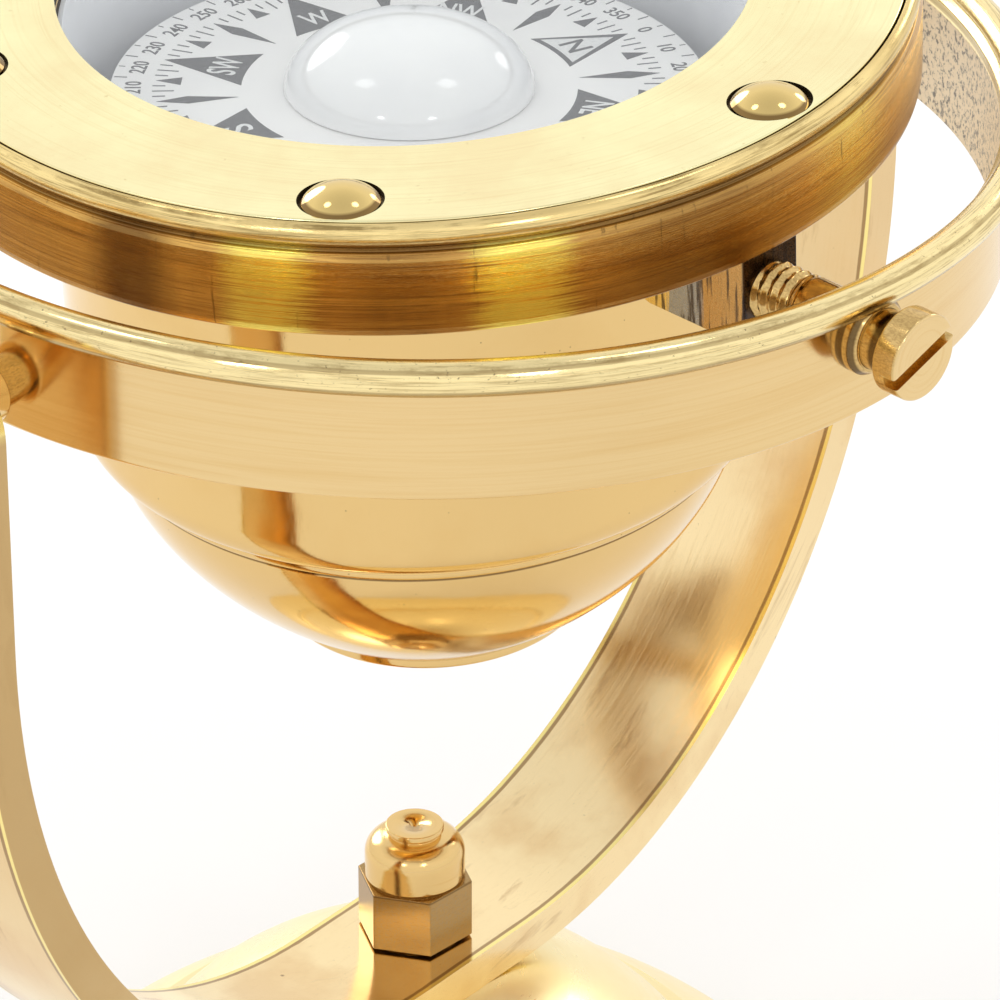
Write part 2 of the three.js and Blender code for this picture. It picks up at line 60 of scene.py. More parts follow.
BOWL_R, BOWL_WALL = 44.9, 1.8
FLANGE_R, FLANGE_TOP, FLANGE_THICK = 60.8, 19.9, 3
SHOULDER_Z, SHOULDER_R, SHOULDER_LOW = -31.5, 42.2, -36.1
CUP_TOP, CUP_R, CUP_WALL = -38.1, 40.8, 2
CUP_WAIST, CUP_LOW = (37.8, -51.6), (21.4, -63.9)
CAP_R, CAP_BOTTOM = 20.6, -65.7
GLASS_R, GLASS_THICK = 48.2, 2.4
GASKET_INNER_R, GASKET_THICK = 44.6, 0.7
LINER_R, LINER_WALL, LINER_FLOOR, LINER_STEP_Z = 42.8, 0.7, -20, 15.4

CARD_R, CARD_HOLE_R, CARD_THICK = 37.2, 3.1, 0.8
DOME_R, DOME_RISE, DOME_WALL = 15.6, 8.7, 1

RING_INNER_R, RING_WALL, RING_BOTTOM = 73.2, 1.8, -8.3
RING_BEAD_R, RING_BEAD_CENTRE, RING_BEAD_Z = 2.2, 76.2, 8.3

PIVOT_SHANK_R, PIVOT_HEAD_R = 3.8, 5.4
PIVOT_HEAD_START, PIVOT_HEAD_LENGTH, PIVOT_TIP = 80.4, 3.5, 49
PIVOT_SLOT_TURN = 16
SLOT_WIDTH, SLOT_DEPTH = 1.6, 1.7
THREAD_PITCH, THREAD_DEPTH, THREAD_END = 1.5, 0.55, 66.5
BUSH_R, BUSH_END = 4.9, 77.2
BLOCK_OUTER, BLOCK_WIDTH, BLOCK_HEIGHT = 60, 9.6, 12

YOKE_HALF, YOKE_THICK, YOKE_WIDTH = 86, 5.4, 21.8
YOKE_FLOOR, YOKE_FLAT, YOKE_BEND_TOP, YOKE_POWER = 49.3, 10, 135.7, 2.05
YOKE_SCREW_R, YOKE_SCREW_HEAD_R, YOKE_SCREW_HEAD = 3, 6, 4
COLLAR_R, COLLAR_START = 4, 77.6
NUT_FLATS, NUT_HEX, NUT_HEIGHT, NUT_DISC_R, NUT_TURN = 13.65, 8.8, 16.6, 3.9, 24.6
STUD_R = 4

BASE_R, BASE_RIM, BASE_CLEAR, BASE_WALL = 63.5, 4, 0.6, 2
BASE_BELLY, BASE_DOME_R, BASE_DOME_EDGE, BASE_SKIRT_TOP = (54, 17), 49, 41, 23
BASE_TOP, DOME_TOP_R = YOKE_FLOOR - YOKE_THICK, 11
FELT_R, FELT_THICK = 60.6, 2

GAP = 0.3
PIN_RISE, SCREW_RISE = -2.7, 2.4        # heights of the yoke's and the bowl's hinges from the ring's centre
SHARP_ANGLE = math.radians(38)          # edges that turn more than this stay sharp
ON_AXIS = 1e-6                          # a radius below this is a point on the axis

# ---------- frames of the moving parts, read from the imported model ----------


def node_points(name):
    return np.array([vertex.co for vertex in NODES[name].data.vertices], float)


def flat_normal(name):
    """The upward normal of a flat, round node."""
    points = node_points(name)
    axes = np.linalg.svd(points - points.mean(0), full_matrices=False)[2]
    normal = Vector(axes[2])
    return normal if normal.z > 0 else -normal


def frame_at(origin, x, y, z):
    matrix = Matrix((x, y, z)).transposed().to_4x4()
    matrix.translation = origin
    return matrix


HINGE = Vector(JOINTS["ring_swing"]["pos_m"])
RING_AXIS = Vector(JOINTS["ring_swing"]["axis"])
SCREWS = Vector(JOINTS["bowl_swing"]["pos_m"])
BOWL_AXIS = Vector(JOINTS["bowl_swing"]["axis"]).normalized()


def ring_frame():
    up = BOWL_AXIS.cross(RING_AXIS).normalized()
    up = up if up.z > 0 else -up
    return frame_at(HINGE - up * PIN_RISE * MM, RING_AXIS, up.cross(RING_AXIS), up)


def bowl_frame(ring):
    up = flat_normal("glass")
    level = ring.col[2].to_3d()
    lean = math.atan2(level.cross(up).dot(BOWL_AXIS), level.dot(up))
    turned = Matrix.Rotation(lean, 3, BOWL_AXIS) @ ring.to_3x3()
    up = turned.col[2]
    return frame_at(SCREWS - up * SCREW_RISE * MM, *turned.transposed())


def card_frame():
    pivot = Vector(JOINTS["card_turn"]["pos_m"])
    side = Vector(node_points("card_magnet_1").mean(0)) - pivot
    side.z = 0
    side.normalize()
    up = Vector((0, 0, 1))
    return frame_at(pivot, side.cross(up), side, up)


AT_HINGE = Matrix.Translation(HINGE)
AT_RING = ring_frame()
AT_BOWL = bowl_frame(AT_RING)
PLACES = {"base": Matrix.Identity(4), "ring": AT_RING, "bowl": AT_BOWL, "card": card_frame()}


def along(place, origin, direction):
    """A frame at a point whose +Z runs outwards along a direction, and whose +Y is another frame's up."""
    z = direction.normalized()
    up = place.col[2].to_3d()
    y = (up - z * up.dot(z)).normalized()
    return frame_at(origin, y.cross(z), y, z)


# ---------- mesh helpers ----------


def filleted(corners, closed, steps=5):
    """Outline points with each (x, y, radius) corner rounded. A corner without a radius stays sharp."""
    points = []
    for i, corner in enumerate(corners):
        here = Vector(corner[:2])
        radius = corner[2] if len(corner) > 2 else 0
        at_end = not closed and i in (0, len(corners) - 1)
        if radius == 0 or at_end:
            points.append(here)
            continue
        before = Vector(corners[i - 1][:2]) - here
        after = Vector(corners[(i + 1) % len(corners)][:2]) - here
        reach = radius / max(math.tan(before.angle(after) / 2), 0.05)
        reach = min(reach, 0.49 * before.length, 0.49 * after.length)
        start = here + before.normalized() * reach
        end = here + after.normalized() * reach
        for k in range(steps + 1):
            u = k / steps
            points.append(start * (1 - u) ** 2 + here * 2 * u * (1 - u) + end * u ** 2)
    return points


def arc(cx, cy, rx, ry, start, end, steps):
    """Points on an arc between two angles in degrees."""
    angles = np.radians(np.linspace(start, end, steps + 1))
    return [(cx + rx * math.cos(a), cy + ry * math.sin(a)) for a in angles]


def bezier(a, b, c, steps):
    points = []
    for k in range(steps + 1):
        u = k / steps
        points.append(Vector(a) * (1 - u) ** 2 + Vector(b) * 2 * u * (1 - u) + Vector(c) * u ** 2)
    return [(p.x, p.y) for p in points]


def mesh_from(vertices, faces):
    mesh = bpy.data.meshes.new("mesh")
    mesh.from_pydata([Vector(v) * MM for v in vertices], [], faces)
    bm = bmesh.new()
    bm.from_mesh(mesh)
    bmesh.ops.remove_doubles(bm, verts=bm.verts, dist=1e-7)
    bmesh.ops.recalc_face_normals(bm, faces=bm.faces)
    bm.to_mesh(mesh)
    bm.free()
    return mesh


def lathe(corners, steps=192, shape=None):
    """A body turned about Z. An outline that doesn't reach the axis closes on itself.
    shape(radius, angle, height) can change the radius from place to place."""
    closed = corners[0][0] > ON_AXIS
    points = filleted(corners, closed)
    vertices, rows = [], []
    for p in points:
        if p.x < ON_AXIS:
            rows.append([len(vertices)] * steps)
            vertices.append((0, 0, p.y))
            continue
        rows.append(list(range(len(vertices), len(vertices) + steps)))
        for k in range(steps):
            angle = 2 * math.pi * k / steps
            radius = shape(p.x, angle, p.y) if shape else p.x
            vertices.append((radius * math.cos(angle), radius * math.sin(angle), p.y))
    faces = []
    pairs = list(zip(rows, rows[1:])) + ([(rows[-1], rows[0])] if closed else [])
    for low, high in pairs:
        for k in range(steps):
            n = (k + 1) % steps
            face = tuple(dict.fromkeys((low[k], low[n], high[n], high[k])))
            if len(face) > 2:
                faces.append(face)
    return mesh_from(vertices, faces)


def washer(inner, outer, low, high, rounds, steps):
    """A turned ring or disc. The radii of its corners run from the low inner one outwards and up."""
    corners = ((inner, low), (outer, low), (outer, high), (inner, high))
    return lathe([(*corner, radius) for corner, radius in zip(corners, rounds)], steps)


def block(x, y, z, middle=0):
    """A box around the Z axis, with its middle at a height."""
    vertices = [(sx * x / 2, sy * y / 2, middle + sz * z / 2)
                for sx in (-1, 1) for sy in (-1, 1) for sz in (-1, 1)]
    faces = [(0, 1, 3, 2), (4, 6, 7, 5), (0, 4, 5, 1), (2, 3, 7, 6), (0, 2, 6, 4), (1, 5, 7, 3)]
    return mesh_from(vertices, faces)


def temporary(mesh, matrix=None):
    obj = bpy.data.objects.new("temporary", mesh)
    bpy.context.scene.collection.objects.link(obj)
    if matrix:
        obj.matrix_world = matrix
    return obj


def modified(mesh, cutters=(), unions=(), bevel=0, segments=3, angle=35, weighted=True):
    """The mesh after its cuts and joins, its bevelled edges and its weighted normals."""
    obj = temporary(mesh)
    tools = []
    for operation, others in (("DIFFERENCE", cutters), ("UNION", unions)):
        for other, matrix in others:
            tool = temporary(other, matrix)
            join = obj.modifiers.new("join", "BOOLEAN")
            join.operation = operation
            join.solver = "EXACT"
            join.object = tool
            tools.append(tool)
    if bevel:
        edge = obj.modifiers.new("bevel", "BEVEL")
        edge.width = bevel * MM
        edge.segments = segments
        edge.limit_method = "ANGLE"
        edge.angle_limit = math.radians(angle)
        edge.harden_normals = False
    for polygon in mesh.polygons:
        polygon.use_smooth = True
    if weighted:
        normals = obj.modifiers.new("normals", "WEIGHTED_NORMAL")
        normals.weight = 80
        normals.keep_sharp = True
    bpy.context.view_layer.update()
    evaluated = obj.evaluated_get(bpy.context.evaluated_depsgraph_get())
    result = bpy.data.meshes.new_from_object(evaluated)
    for spare in (obj, *tools):
        bpy.data.objects.remove(spare)
    return result


def dressed(mesh, material, grain=None):
    """Gives a mesh its material, and its points their places in millimetres, which the material reads."""
    points = np.array([vertex.co for vertex in mesh.vertices], np.float32) / MM
    if grain:
        points = np.array([grain(p) for p in points], np.float32)
    mesh.attributes.new("grain", "FLOAT_VECTOR", "POINT").data.foreach_set("vector", points.ravel())
    mesh.materials.clear()
    mesh.materials.append(MATERIALS[material])


def piece(name, mesh, body, slot, material, *replaced, place=None, grain=None, finish=True):
    """Puts a mesh in place as a named piece of the object, in its body's frame if no place is given."""
    if finish:
        for polygon in mesh.polygons:
            polygon.use_smooth = True
        mesh.set_sharp_from_angle(angle=SHARP_ANGLE)
        mesh = modified(mesh)
    mesh.name = name
    dressed(mesh, material, grain)
    obj = bpy.data.objects.new(name, mesh)
    bpy.context.scene.collection.objects.link(obj)
    obj.matrix_world = place or PLACES[body]
    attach(obj, body)
    if replaced:
        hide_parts(*replaced)
    return obj


# ---------- shader helpers ----------


class Surface:
    """A material's node tree, built from the output backwards."""

    def __init__(self, name):
        self.material = bpy.data.materials.new(name)
        self.material.use_nodes = True
        self.tree = self.material.node_tree
        self.tree.nodes.clear()
        self.output = self.tree.nodes.new("ShaderNodeOutputMaterial")
        self.grain = self.add("Attribute", attribute_name="grain").outputs["Vector"]

    def add(self, kind, inputs=None, **settings):
        node = self.tree.nodes.new("ShaderNode" + kind)
        for key, value in settings.items():
            setattr(node, key, value)
        for key, value in (inputs or {}).items():
            self.feed(node.inputs[key], value)
        return node

    def feed(self, socket, value):
        if isinstance(value, bpy.types.NodeSocket):
            self.tree.links.new(value, socket)
        else:
            socket.default_value = value

    def math(self, operation, a, b=0.0):
        return self.add("Math", {0: a, 1: b}, operation=operation).outputs[0]

    def vector(self, operation, a, b=(0.0, 0.0, 0.0), output="Vector"):
        return self.add("VectorMath", {0: a, 1: b}, operation=operation).outputs[output]

    def noise(self, scale, detail=3.0, roughness=0.55, distortion=0.0, vector=None):
        inputs = {"Vector": vector or self.grain, "Scale": scale, "Detail": detail,
                  "Roughness": roughness, "Distortion": distortion}
        return self.add("TexNoise", inputs).outputs["Fac"]

    def drawn(self, scale, detail, roughness=0.55, distortion=0.0):
        """Noise drawn out along the piece's own axes."""
        return self.noise(1.0, detail, roughness, distortion, self.vector("MULTIPLY", self.grain, scale))

    def marks(self, fine, coarse, detail, roughness):
        """Noise that changes fast across a turned piece's tool marks and slowly along them."""
        xyz = self.add("SeparateXYZ", {"Vector": self.grain})
        across = self.math("ADD", self.radius(), self.math("MULTIPLY", xyz.outputs["Z"], 1.37))
        place = self.add("CombineXYZ", {
            "X": self.math("MULTIPLY", across, fine),
            "Y": self.math("MULTIPLY", xyz.outputs["X"], coarse),
            "Z": self.math("MULTIPLY", xyz.outputs["Y"], coarse)})
        return self.noise(1.0, detail, roughness, 0.0, place.outputs[0])

    def spots(self, scale, size, strength):
        """Small round spots, scattered at random."""
        cells = self.add("TexVoronoi", {"Vector": self.grain, "Scale": scale, "Randomness": 1.0})
        return self.math("MULTIPLY", self.remap(cells.outputs["Distance"], size, size * 0.5), strength)

    def remap(self, value, low, high, to_low=0.0, to_high=1.0):
        inputs = {"Value": value, "From Min": low, "From Max": high, "To Min": to_low, "To Max": to_high}
        return self.add("MapRange", inputs).outputs["Result"]

    def blend(self, factor, a, b):
        a, b = [(*value, 1.0) if isinstance(value, tuple) else value for value in (a, b)]
        return self.add("Mix", {0: factor, 6: a, 7: b}, data_type="RGBA").outputs[2]

    def over(self, colour, tint, value, low, high, strength=1.0):
        """A colour with a tint laid over it as a value passes from low to high."""
        return self.blend(self.remap(value, low, high, 0.0, strength), colour, tint)

    def lined(self, colour, tint, value, middle, half_width, strength):
        """A colour with a soft line of a tint where a value passes through its middle."""
        away = self.math("ABSOLUTE", self.math("SUBTRACT", value, middle))
        return self.blend(self.remap(away, half_width * 0.6, half_width, strength, 0.0), colour, tint)

    def height(self):
        return self.add("SeparateXYZ", {"Vector": self.grain}).outputs["Z"]

    def outwards(self):
        return self.vector("MULTIPLY", self.grain, (1.0, 1.0, 0.0))

    def radius(self):
        return self.vector("LENGTH", self.outwards(), output="Value")

    def bumps(self, *layers):
        """The normal under layers of (height, depth in millimetres)."""
        normal = None
        for height, depth in layers:
            inputs = {"Height": height, "Distance": depth * MM, "Strength": 1.0}
            if normal is not None:
                inputs["Normal"] = normal
            normal = self.add("Bump", inputs).outputs["Normal"]
        return normal

    def principled(self, **inputs):
        names = {key.replace("_", " "): value for key, value in inputs.items()}
        shader = self.add("BsdfPrincipled", names)
        self.feed(self.output.inputs["Surface"], shader.outputs[0])
        return self.material

    def metal(self, colour, rough, *layers, metallic=1.0):
        normal = self.bumps(*layers)
        return self.principled(Base_Color=colour, Metallic=metallic, Roughness=rough, Normal=normal)


BRASS = (0.80, 0.55, 0.23)
PALE_BRASS = (0.83, 0.605, 0.295)
AMBER = (0.68, 0.39, 0.11)
TARNISH = (0.42, 0.29, 0.14)
GREY_TARNISH = (0.42, 0.38, 0.31)
PIT = (0.10, 0.06, 0.03)
DARK_LINE = (0.17, 0.09, 0.03)
OLIVE = (0.40, 0.27, 0.10)
BEAD_SHADE = (0.26, 0.16, 0.05)


def polished_brass(name, wear, ripple, dark_lines, tint=BRASS):
    """Buffed brass: near-mirror, with faint ripples, hair scratches, a few pits, and dark lines at given
    heights: along the bowl's joints, and as painted shade round a rivet's foot.
    """
    s = Surface(name)
    blotch = s.noise(0.055, 4.0)
    hair = s.drawn((7.0, 0.5, 0.5), 5.0, 0.7)
    colour = s.over(tint, AMBER, blotch, 0.52, 0.72, wear)
    colour = s.over(colour, TARNISH, hair, 0.60, 0.80, wear * 0.5)
    colour = s.blend(s.spots(0.45, 0.05, 0.8), colour, PIT)
    # dark lines at given heights; round a rivet's foot they are painted shade
    for line_height, half_width in dark_lines:
        colour = s.lined(colour, DARK_LINE, s.height(), line_height, half_width, 0.85)
    rough = s.math("ADD", s.remap(blotch, 0.35, 0.75, 0.05, 0.13), s.remap(hair, 0.45, 0.85, 0.0, 0.10))
    return s.metal(colour, rough, (s.noise(0.12, 1.0), ripple * 6), (hair, ripple * 0.25))


def turned_brass(name, tint, dark, fine, depth, roughness, contrast):
    """Lathe-turned brass: fine rings of tool marks, worn through in places."""
    s = Surface(name)
    marks = s.marks(fine, 0.035, 6.0, 0.72)
    broad = s.marks(fine * 0.16, 0.02, 3.0, 0.6)
    worn = s.noise(0.09, 4.0, 0.65)
    colour = s.over(tint, dark, marks, 0.42, 0.74, contrast)
    colour = s.over(colour, dark, broad, 0.5, 0.72, contrast * 0.7)
    colour = s.over(colour, TARNISH, worn, 0.58, 0.78, contrast * 0.8)
    rough = s.math("ADD", s.remap(worn, 0.3, 0.8, roughness * 0.8, roughness * 1.35),
                   s.remap(marks, 0.4, 0.8, 0.0, roughness * 0.5))
    return s.metal(colour, rough, (marks, depth), (broad, depth * 1.6))


# stretches of the band: middle azimuth, half width, softness in degrees, strength
# the bright stretches are painted reflections of lamps
PAINTED_REFLECTION_STRETCHES = (
    (-155.5, 5.5, 3, 1.0), (-128.3, 6, 3, 1.0), (-84, 9, 8, 0.4), (150, 8, 6, 0.8), (20, 10, 6, 0.8))
DARK_STRETCHES = (
    (-171, 6, 4, 0.8), (-108, 16, 12, 0.5), (-141, 7, 5, 0.3), (100, 16, 9, 0.6), (-30, 12, 9, 0.6))


def ring_brass(name):
    """The gimbal ring: a finely brushed wall, a streaked bead above it, and a rough, pitted inner face."""
    s = Surface(name)
    height = s.height()
    marks = s.marks(2.4, 0.035, 6.0, 0.72)
    drag = s.marks(3.6, 0.09, 5.0, 0.75)
    fleck = s.marks(1.6, 1.1, 5.0, 0.8)
    cast = s.noise(1.15, 5.0, 0.8)
    bead_low = RING_BEAD_Z - RING_BEAD_R
    on_bead = s.remap(height, bead_low - 0.1, bead_low + 0.25)
    inside = s.math("MULTIPLY", s.remap(s.radius(), RING_INNER_R + 0.35, RING_INNER_R + 0.15),
                    s.math("SUBTRACT", 1.0, on_bead))
    wall = s.over(PALE_BRASS, AMBER, marks, 0.45, 0.75, 0.3)
    wall = s.over(wall, AMBER, s.marks(0.4, 0.02, 3.0, 0.6), 0.5, 0.72, 0.25)
    wall = s.over(wall, TARNISH, fleck, 0.70, 0.74, 0.6)
    bead = s.over((1.0, 0.82, 0.42), OLIVE, drag, 0.48, 0.62, 0.6)
    bead = s.lined(bead, BEAD_SHADE, height, RING_BEAD_Z - 1.3, 0.6, 0.6)
    bead = s.lined(bead, BEAD_SHADE, height, RING_BEAD_Z + 1.5, 0.25, 0.5)
    bead = s.over(bead, PIT, fleck, 0.62, 0.66, 0.8)
    pitted = s.over((0.78, 0.64, 0.44), (0.20, 0.17, 0.14), cast, 0.52, 0.58)
    colour = s.blend(inside, s.blend(on_bead, wall, bead), pitted)
    rough = s.blend(inside, s.blend(on_bead, (0.15, 0.15, 0.15), (0.09, 0.09, 0.09)), (0.32, 0.32, 0.32))
    return s.metal(colour, rough, (marks, 0.004), (s.math("MULTIPLY", cast, inside), 0.12),
                   (s.math("MULTIPLY", drag, on_bead), 0.02))


def face_brass(name):
    """The bezel's flat face: pale buffed brass with warm clouds, freckles, and painted shade in the rivets'
    seats and below the face.
    """
    s = Surface(name)
    marks = s.marks(2.2, 0.035, 6.0, 0.7)
    cloud = s.noise(0.045, 5.0, 0.6)
    colour = s.over((0.98, 0.93, 0.53), (0.94, 0.80, 0.44), cloud, 0.40, 0.66)
    colour = s.over(colour, BRASS, marks, 0.5, 0.75, 0.3)
    colour = s.over(colour, (0.62, 0.40, 0.16), s.noise(0.75, 4.0, 0.7), 0.66, 0.74, 0.4)
    fall = s.remap(s.radius(), OPENING_R, FACE_R, FACE_FALL, 0.0)
    # painted shade: the rivets' seats and every surface below the face are painted near-black
    sunk = s.remap(s.math("ADD", s.height(), fall), BEZEL_TOP - 0.3, BEZEL_TOP - 0.12, 0.93, 0.0)
    colour = s.blend(sunk, colour, (0.07, 0.04, 0.02))
    rough = s.math("ADD", s.remap(cloud, 0.3, 0.8, 0.11, 0.17), s.remap(sunk, 0.0, 1.0, 0.0, 0.3))
    return s.metal(colour, rough, (marks, 0.003))


def banded_brass(name):
    """The bezel's band: an olive bead over dark amber lacquer, with painted lamp reflections as bright
    stretches and painted shade in the groove under the bead.
    """
    s = Surface(name)
    height = s.height()
    direction = s.vector("NORMALIZE", s.outwards())
    streak = s.marks(3.0, 0.05, 6.0, 0.75)
    scratch = s.marks(7.0, 0.4, 4.0, 0.8)
    broad = s.marks(0.55, 0.03, 3.0, 0.6)
    ragged = s.math("MULTIPLY", s.math("SUBTRACT", streak, 0.5), 0.2)

    def stretch(degrees, spread, soft, strength):
        """One over a stretch of the band, ragged along the turning marks."""
        middle = (math.cos(math.radians(degrees)), math.sin(math.radians(degrees)), 0.0)
        cosine = s.vector("DOT_PRODUCT", direction, middle, "Value")
        away = s.math("ADD", s.math("ARCCOSINE", s.math("MINIMUM", cosine, 1.0)), ragged)
        edge = math.radians(spread)
        return s.remap(away, edge, edge - math.radians(soft), 0.0, strength)

    colour = s.over((0.76, 0.44, 0.12), (0.56, 0.30, 0.08), broad, 0.42, 0.62)
    colour = s.over(colour, (0.26, 0.12, 0.035), streak, 0.48, 0.62, 0.75)
    colour = s.over(colour, (0.86, 0.60, 0.20), scratch, 0.60, 0.70, 0.6)
    for dark in DARK_STRETCHES:
        colour = s.blend(stretch(*dark), colour, (0.15, 0.07, 0.025))
    # painted reflections: bright yellow stretches where lamps would be seen in the band
    painted_glare = s.over((1.0, 0.86, 0.20), (0.98, 0.54, 0.09), streak, 0.50, 0.60)
    for bright in PAINTED_REFLECTION_STRETCHES:
        colour = s.blend(stretch(*bright), colour, painted_glare)
    colour = s.over(colour, (0.12, 0.06, 0.02), s.drawn((0.9, 0.9, 0.06), 4.0, 0.6), 0.64, 0.70, 0.6)
    bead = s.over((0.98, 0.76, 0.34), (0.34, 0.23, 0.08), streak, 0.46, 0.60, 0.9)
    bead = s.over(bead, (0.66, 0.46, 0.17), broad, 0.50, 0.62, 0.5)
    low = BEZEL_TOP - 2 * BEAD_R
    colour = s.over(colour, bead, height, low - 0.2, low + 0.3)
    # painted shade: a dark line in the groove under the bead
    colour = s.lined(colour, (0.14, 0.08, 0.03), height, low - 0.25, 0.4, 0.7)
    return s.metal(colour, s.remap(streak, 0.3, 0.8, 0.10, 0.24), (streak, 0.03), (scratch, 0.006))


def screw_brass(name, top, neck_shade=()):
    """Turned brass with a clean end face at the top height, darker sides and painted shade at each neck."""
    s = Surface(name)
    height = s.height()
    rings = s.marks(2.2, 0.05, 5.0, 0.7)
    drag = s.drawn((4.0, 4.0, 1.6), 3.0, 0.6)
    side = s.over((0.70, 0.48, 0.19), (0.52, 0.34, 0.13), drag, 0.40, 0.66)
    side = s.over(side, BRASS, rings, 0.56, 0.66, 0.6)
    # painted shade: dark bands on the shank at the bush's end, under the head and at the ring's wall
    for neck, half_width in neck_shade:
        side = s.lined(side, (0.09, 0.05, 0.02), height, neck, half_width, 0.85)
    end = s.over(PALE_BRASS, AMBER, rings, 0.5, 0.75, 0.45)
    colour = s.over(side, end, height, top - 0.3, top - 0.1)
    return s.metal(colour, s.remap(drag, 0.3, 0.8, 0.11, 0.2), (drag, 0.008))


def nut_brass(name):
    """A nut with a milled, oxide-speckled hexagon and a polished dome."""
    s = Surface(name)
    height = s.height()
    hex_top = YOKE_FLOOR + NUT_HEX
    domed = s.remap(height, hex_top - 0.1, hex_top + 0.2)
    speckle = s.noise(3.4, 6.0, 0.8)
    drag = s.drawn((0.9, 0.9, 6.0), 4.0, 0.65)
    hexagon = s.over((0.46, 0.28, 0.10), (0.38, 0.29, 0.17), speckle, 0.46, 0.62, 0.7)
    hexagon = s.over(hexagon, (0.32, 0.16, 0.05), drag, 0.54, 0.70, 0.4)
    hexagon = s.lined(hexagon, DARK_LINE, height, hex_top, 0.35, 0.8)
    polished = s.over(BRASS, AMBER, s.marks(2.4, 0.05, 5.0, 0.7), 0.55, 0.75, 0.6)
    colour = s.blend(domed, hexagon, polished)
    rough = s.math("ADD", s.remap(domed, 0.0, 1.0, 0.30, 0.07), s.remap(speckle, 0.4, 0.8, 0.0, 0.1))
    return s.metal(colour, rough, (drag, 0.012), (speckle, 0.008))


def strip_brass(name):
    """Rolled and buffed brass strip: faint grain, clouds of tarnish, dents, a painted highlight with a
    painted dark line along each edge, and painted reflected light that leaves it paler low down than up the
    arms.
    """
    s = Surface(name)
    xyz = s.add("SeparateXYZ", {"Vector": s.grain})
    across = s.math("ABSOLUTE", xyz.outputs["Y"])
    grain = s.drawn((0.05, 2.4, 2.4), 6.0, 0.7)
    streak = s.drawn((0.035, 0.16, 0.16), 5.0, 0.65, 0.5)
    cloud = s.noise(0.05, 5.0, 0.55)
    # painted reflected light: paler along the floor and low on the arms, darker up the arms
    arm = s.remap(s.math("ABSOLUTE", xyz.outputs["X"]), 70.0, 125.0)
    colour = s.blend(arm, (0.96, 0.76, 0.43), (0.78, 0.56, 0.29))
    colour = s.over(colour, (0.80, 0.55, 0.27), cloud, 0.44, 0.60, 0.7)
    colour = s.over(colour, (0.48, 0.29, 0.13), streak, 0.60, 0.68, 0.4)
    colour = s.over(colour, AMBER, grain, 0.55, 0.8, 0.2)
    colour = s.over(colour, TARNISH, s.noise(2.4, 3.0, 0.7), 0.66, 0.72, 0.35)
    colour = s.blend(s.spots(0.10, 0.04, 0.75), colour, PIT)
    half = YOKE_WIDTH / 2
    sides = s.remap(across, half - 0.15, half - 0.05)
    lacquer = s.math("MULTIPLY", s.remap(xyz.outputs["X"], -30.0, -90.0, 0.0, 0.8), sides)
    colour = s.blend(lacquer, colour, (0.52, 0.34, 0.14))
    # painted highlight along each edge, and a painted dark line just inside it
    colour = s.lined(colour, (1.0, 0.83, 0.30), across, half - 0.35, 0.35, 0.9)
    wander = s.math("ADD", across, s.remap(grain, 0.3, 0.7, -0.08, 0.08))
    colour = s.lined(colour, (0.26, 0.14, 0.05), wander, half - 0.9, 0.34, 0.75)
    rough = s.math("ADD", s.remap(cloud, 0.3, 0.75, 0.09, 0.15), s.remap(grain, 0.4, 0.8, 0.0, 0.08))
    return s.metal(colour, rough, (grain, 0.003), (s.noise(0.05, 1.0), 0.1))


def streaked_brass(name):
    """A sawn and filed block: upright streaks of brown, grey oxide and bright brass, and its end face
    painted near-black as shade.
    """
    s = Surface(name)
    height = s.height()
    broad = s.drawn((0.03, 0.5, 0.5), 3.0, 0.55)
    fine = s.drawn((0.08, 1.2, 1.2), 3.0, 0.6)
    speckle = s.noise(2.8, 5.0, 0.75)
    out = s.math("ADD", height, s.remap(broad, 0.3, 0.7, -1.2, 1.2))
    colour = s.over((0.40, 0.42, 0.48), (0.58, 0.35, 0.13), out, 52.6, 53.2)
    colour = s.over(colour, (0.88, 0.66, 0.24), out, 47.8, 47.2)
    colour = s.over(colour, (0.07, 0.05, 0.04), fine, 0.53, 0.60, 0.85)
    colour = s.over(colour, GREY_TARNISH, speckle, 0.60, 0.72, 0.5)
    # painted shade: the outer end face is painted near-black
    colour = s.over(colour, (0.04, 0.03, 0.03), height, BLOCK_OUTER - 0.35, BLOCK_OUTER - 0.1, 0.92)
    return s.metal(colour, s.remap(speckle, 0.3, 0.75, 0.18, 0.4), (fine, 0.03), (speckle, 0.012))


def plain_metal(name, tint, dark, roughness, depth):
    """Bare steel or iron with a mottled skin."""
    s = Surface(name)
    mottle = s.noise(0.7, 6.0, 0.7)
    colour = s.over(tint, dark, mottle, 0.35, 0.7)
    rough = s.remap(mottle, 0.3, 0.75, roughness * 0.8, roughness * 1.3)
    return s.metal(colour, rough, (mottle, depth), (s.noise(5.0, 4.0, 0.7), depth * 0.2), metallic=0.9)


def enamel(name, tint, shade, roughness, coat=0.0, flecks=0.0):
    """White paint or plastic with slight clouding, dust specks and an uneven skin."""
    s = Surface(name)
    cloud = s.noise(0.11, 4.0)
    colour = s.over(tint, shade, cloud, 0.35, 0.7)
    if flecks:
        colour = s.blend(s.spots(0.14, flecks, 0.75), colour, (0.06, 0.06, 0.06))
    return s.principled(
        Base_Color=colour, Roughness=s.remap(cloud, 0.3, 0.7, roughness * 0.85, roughness * 1.25),
        Coat_Weight=coat, Coat_Roughness=0.04, Normal=s.bumps((s.noise(1.3, 3.0), 0.012)))


def matt(name, tint, patchy, scale, detail, texture, spread, roughness, depth):
    """Rubber or print: a dull skin, patchy where its noise passes over the spread."""
    s = Surface(name)
    wear = s.noise(scale, detail, texture)
    return s.principled(
        Base_Color=s.over(tint, patchy, wear, *spread), Roughness=s.remap(wear, 0.3, 0.7, *roughness),
        Normal=s.bumps((wear, depth)))


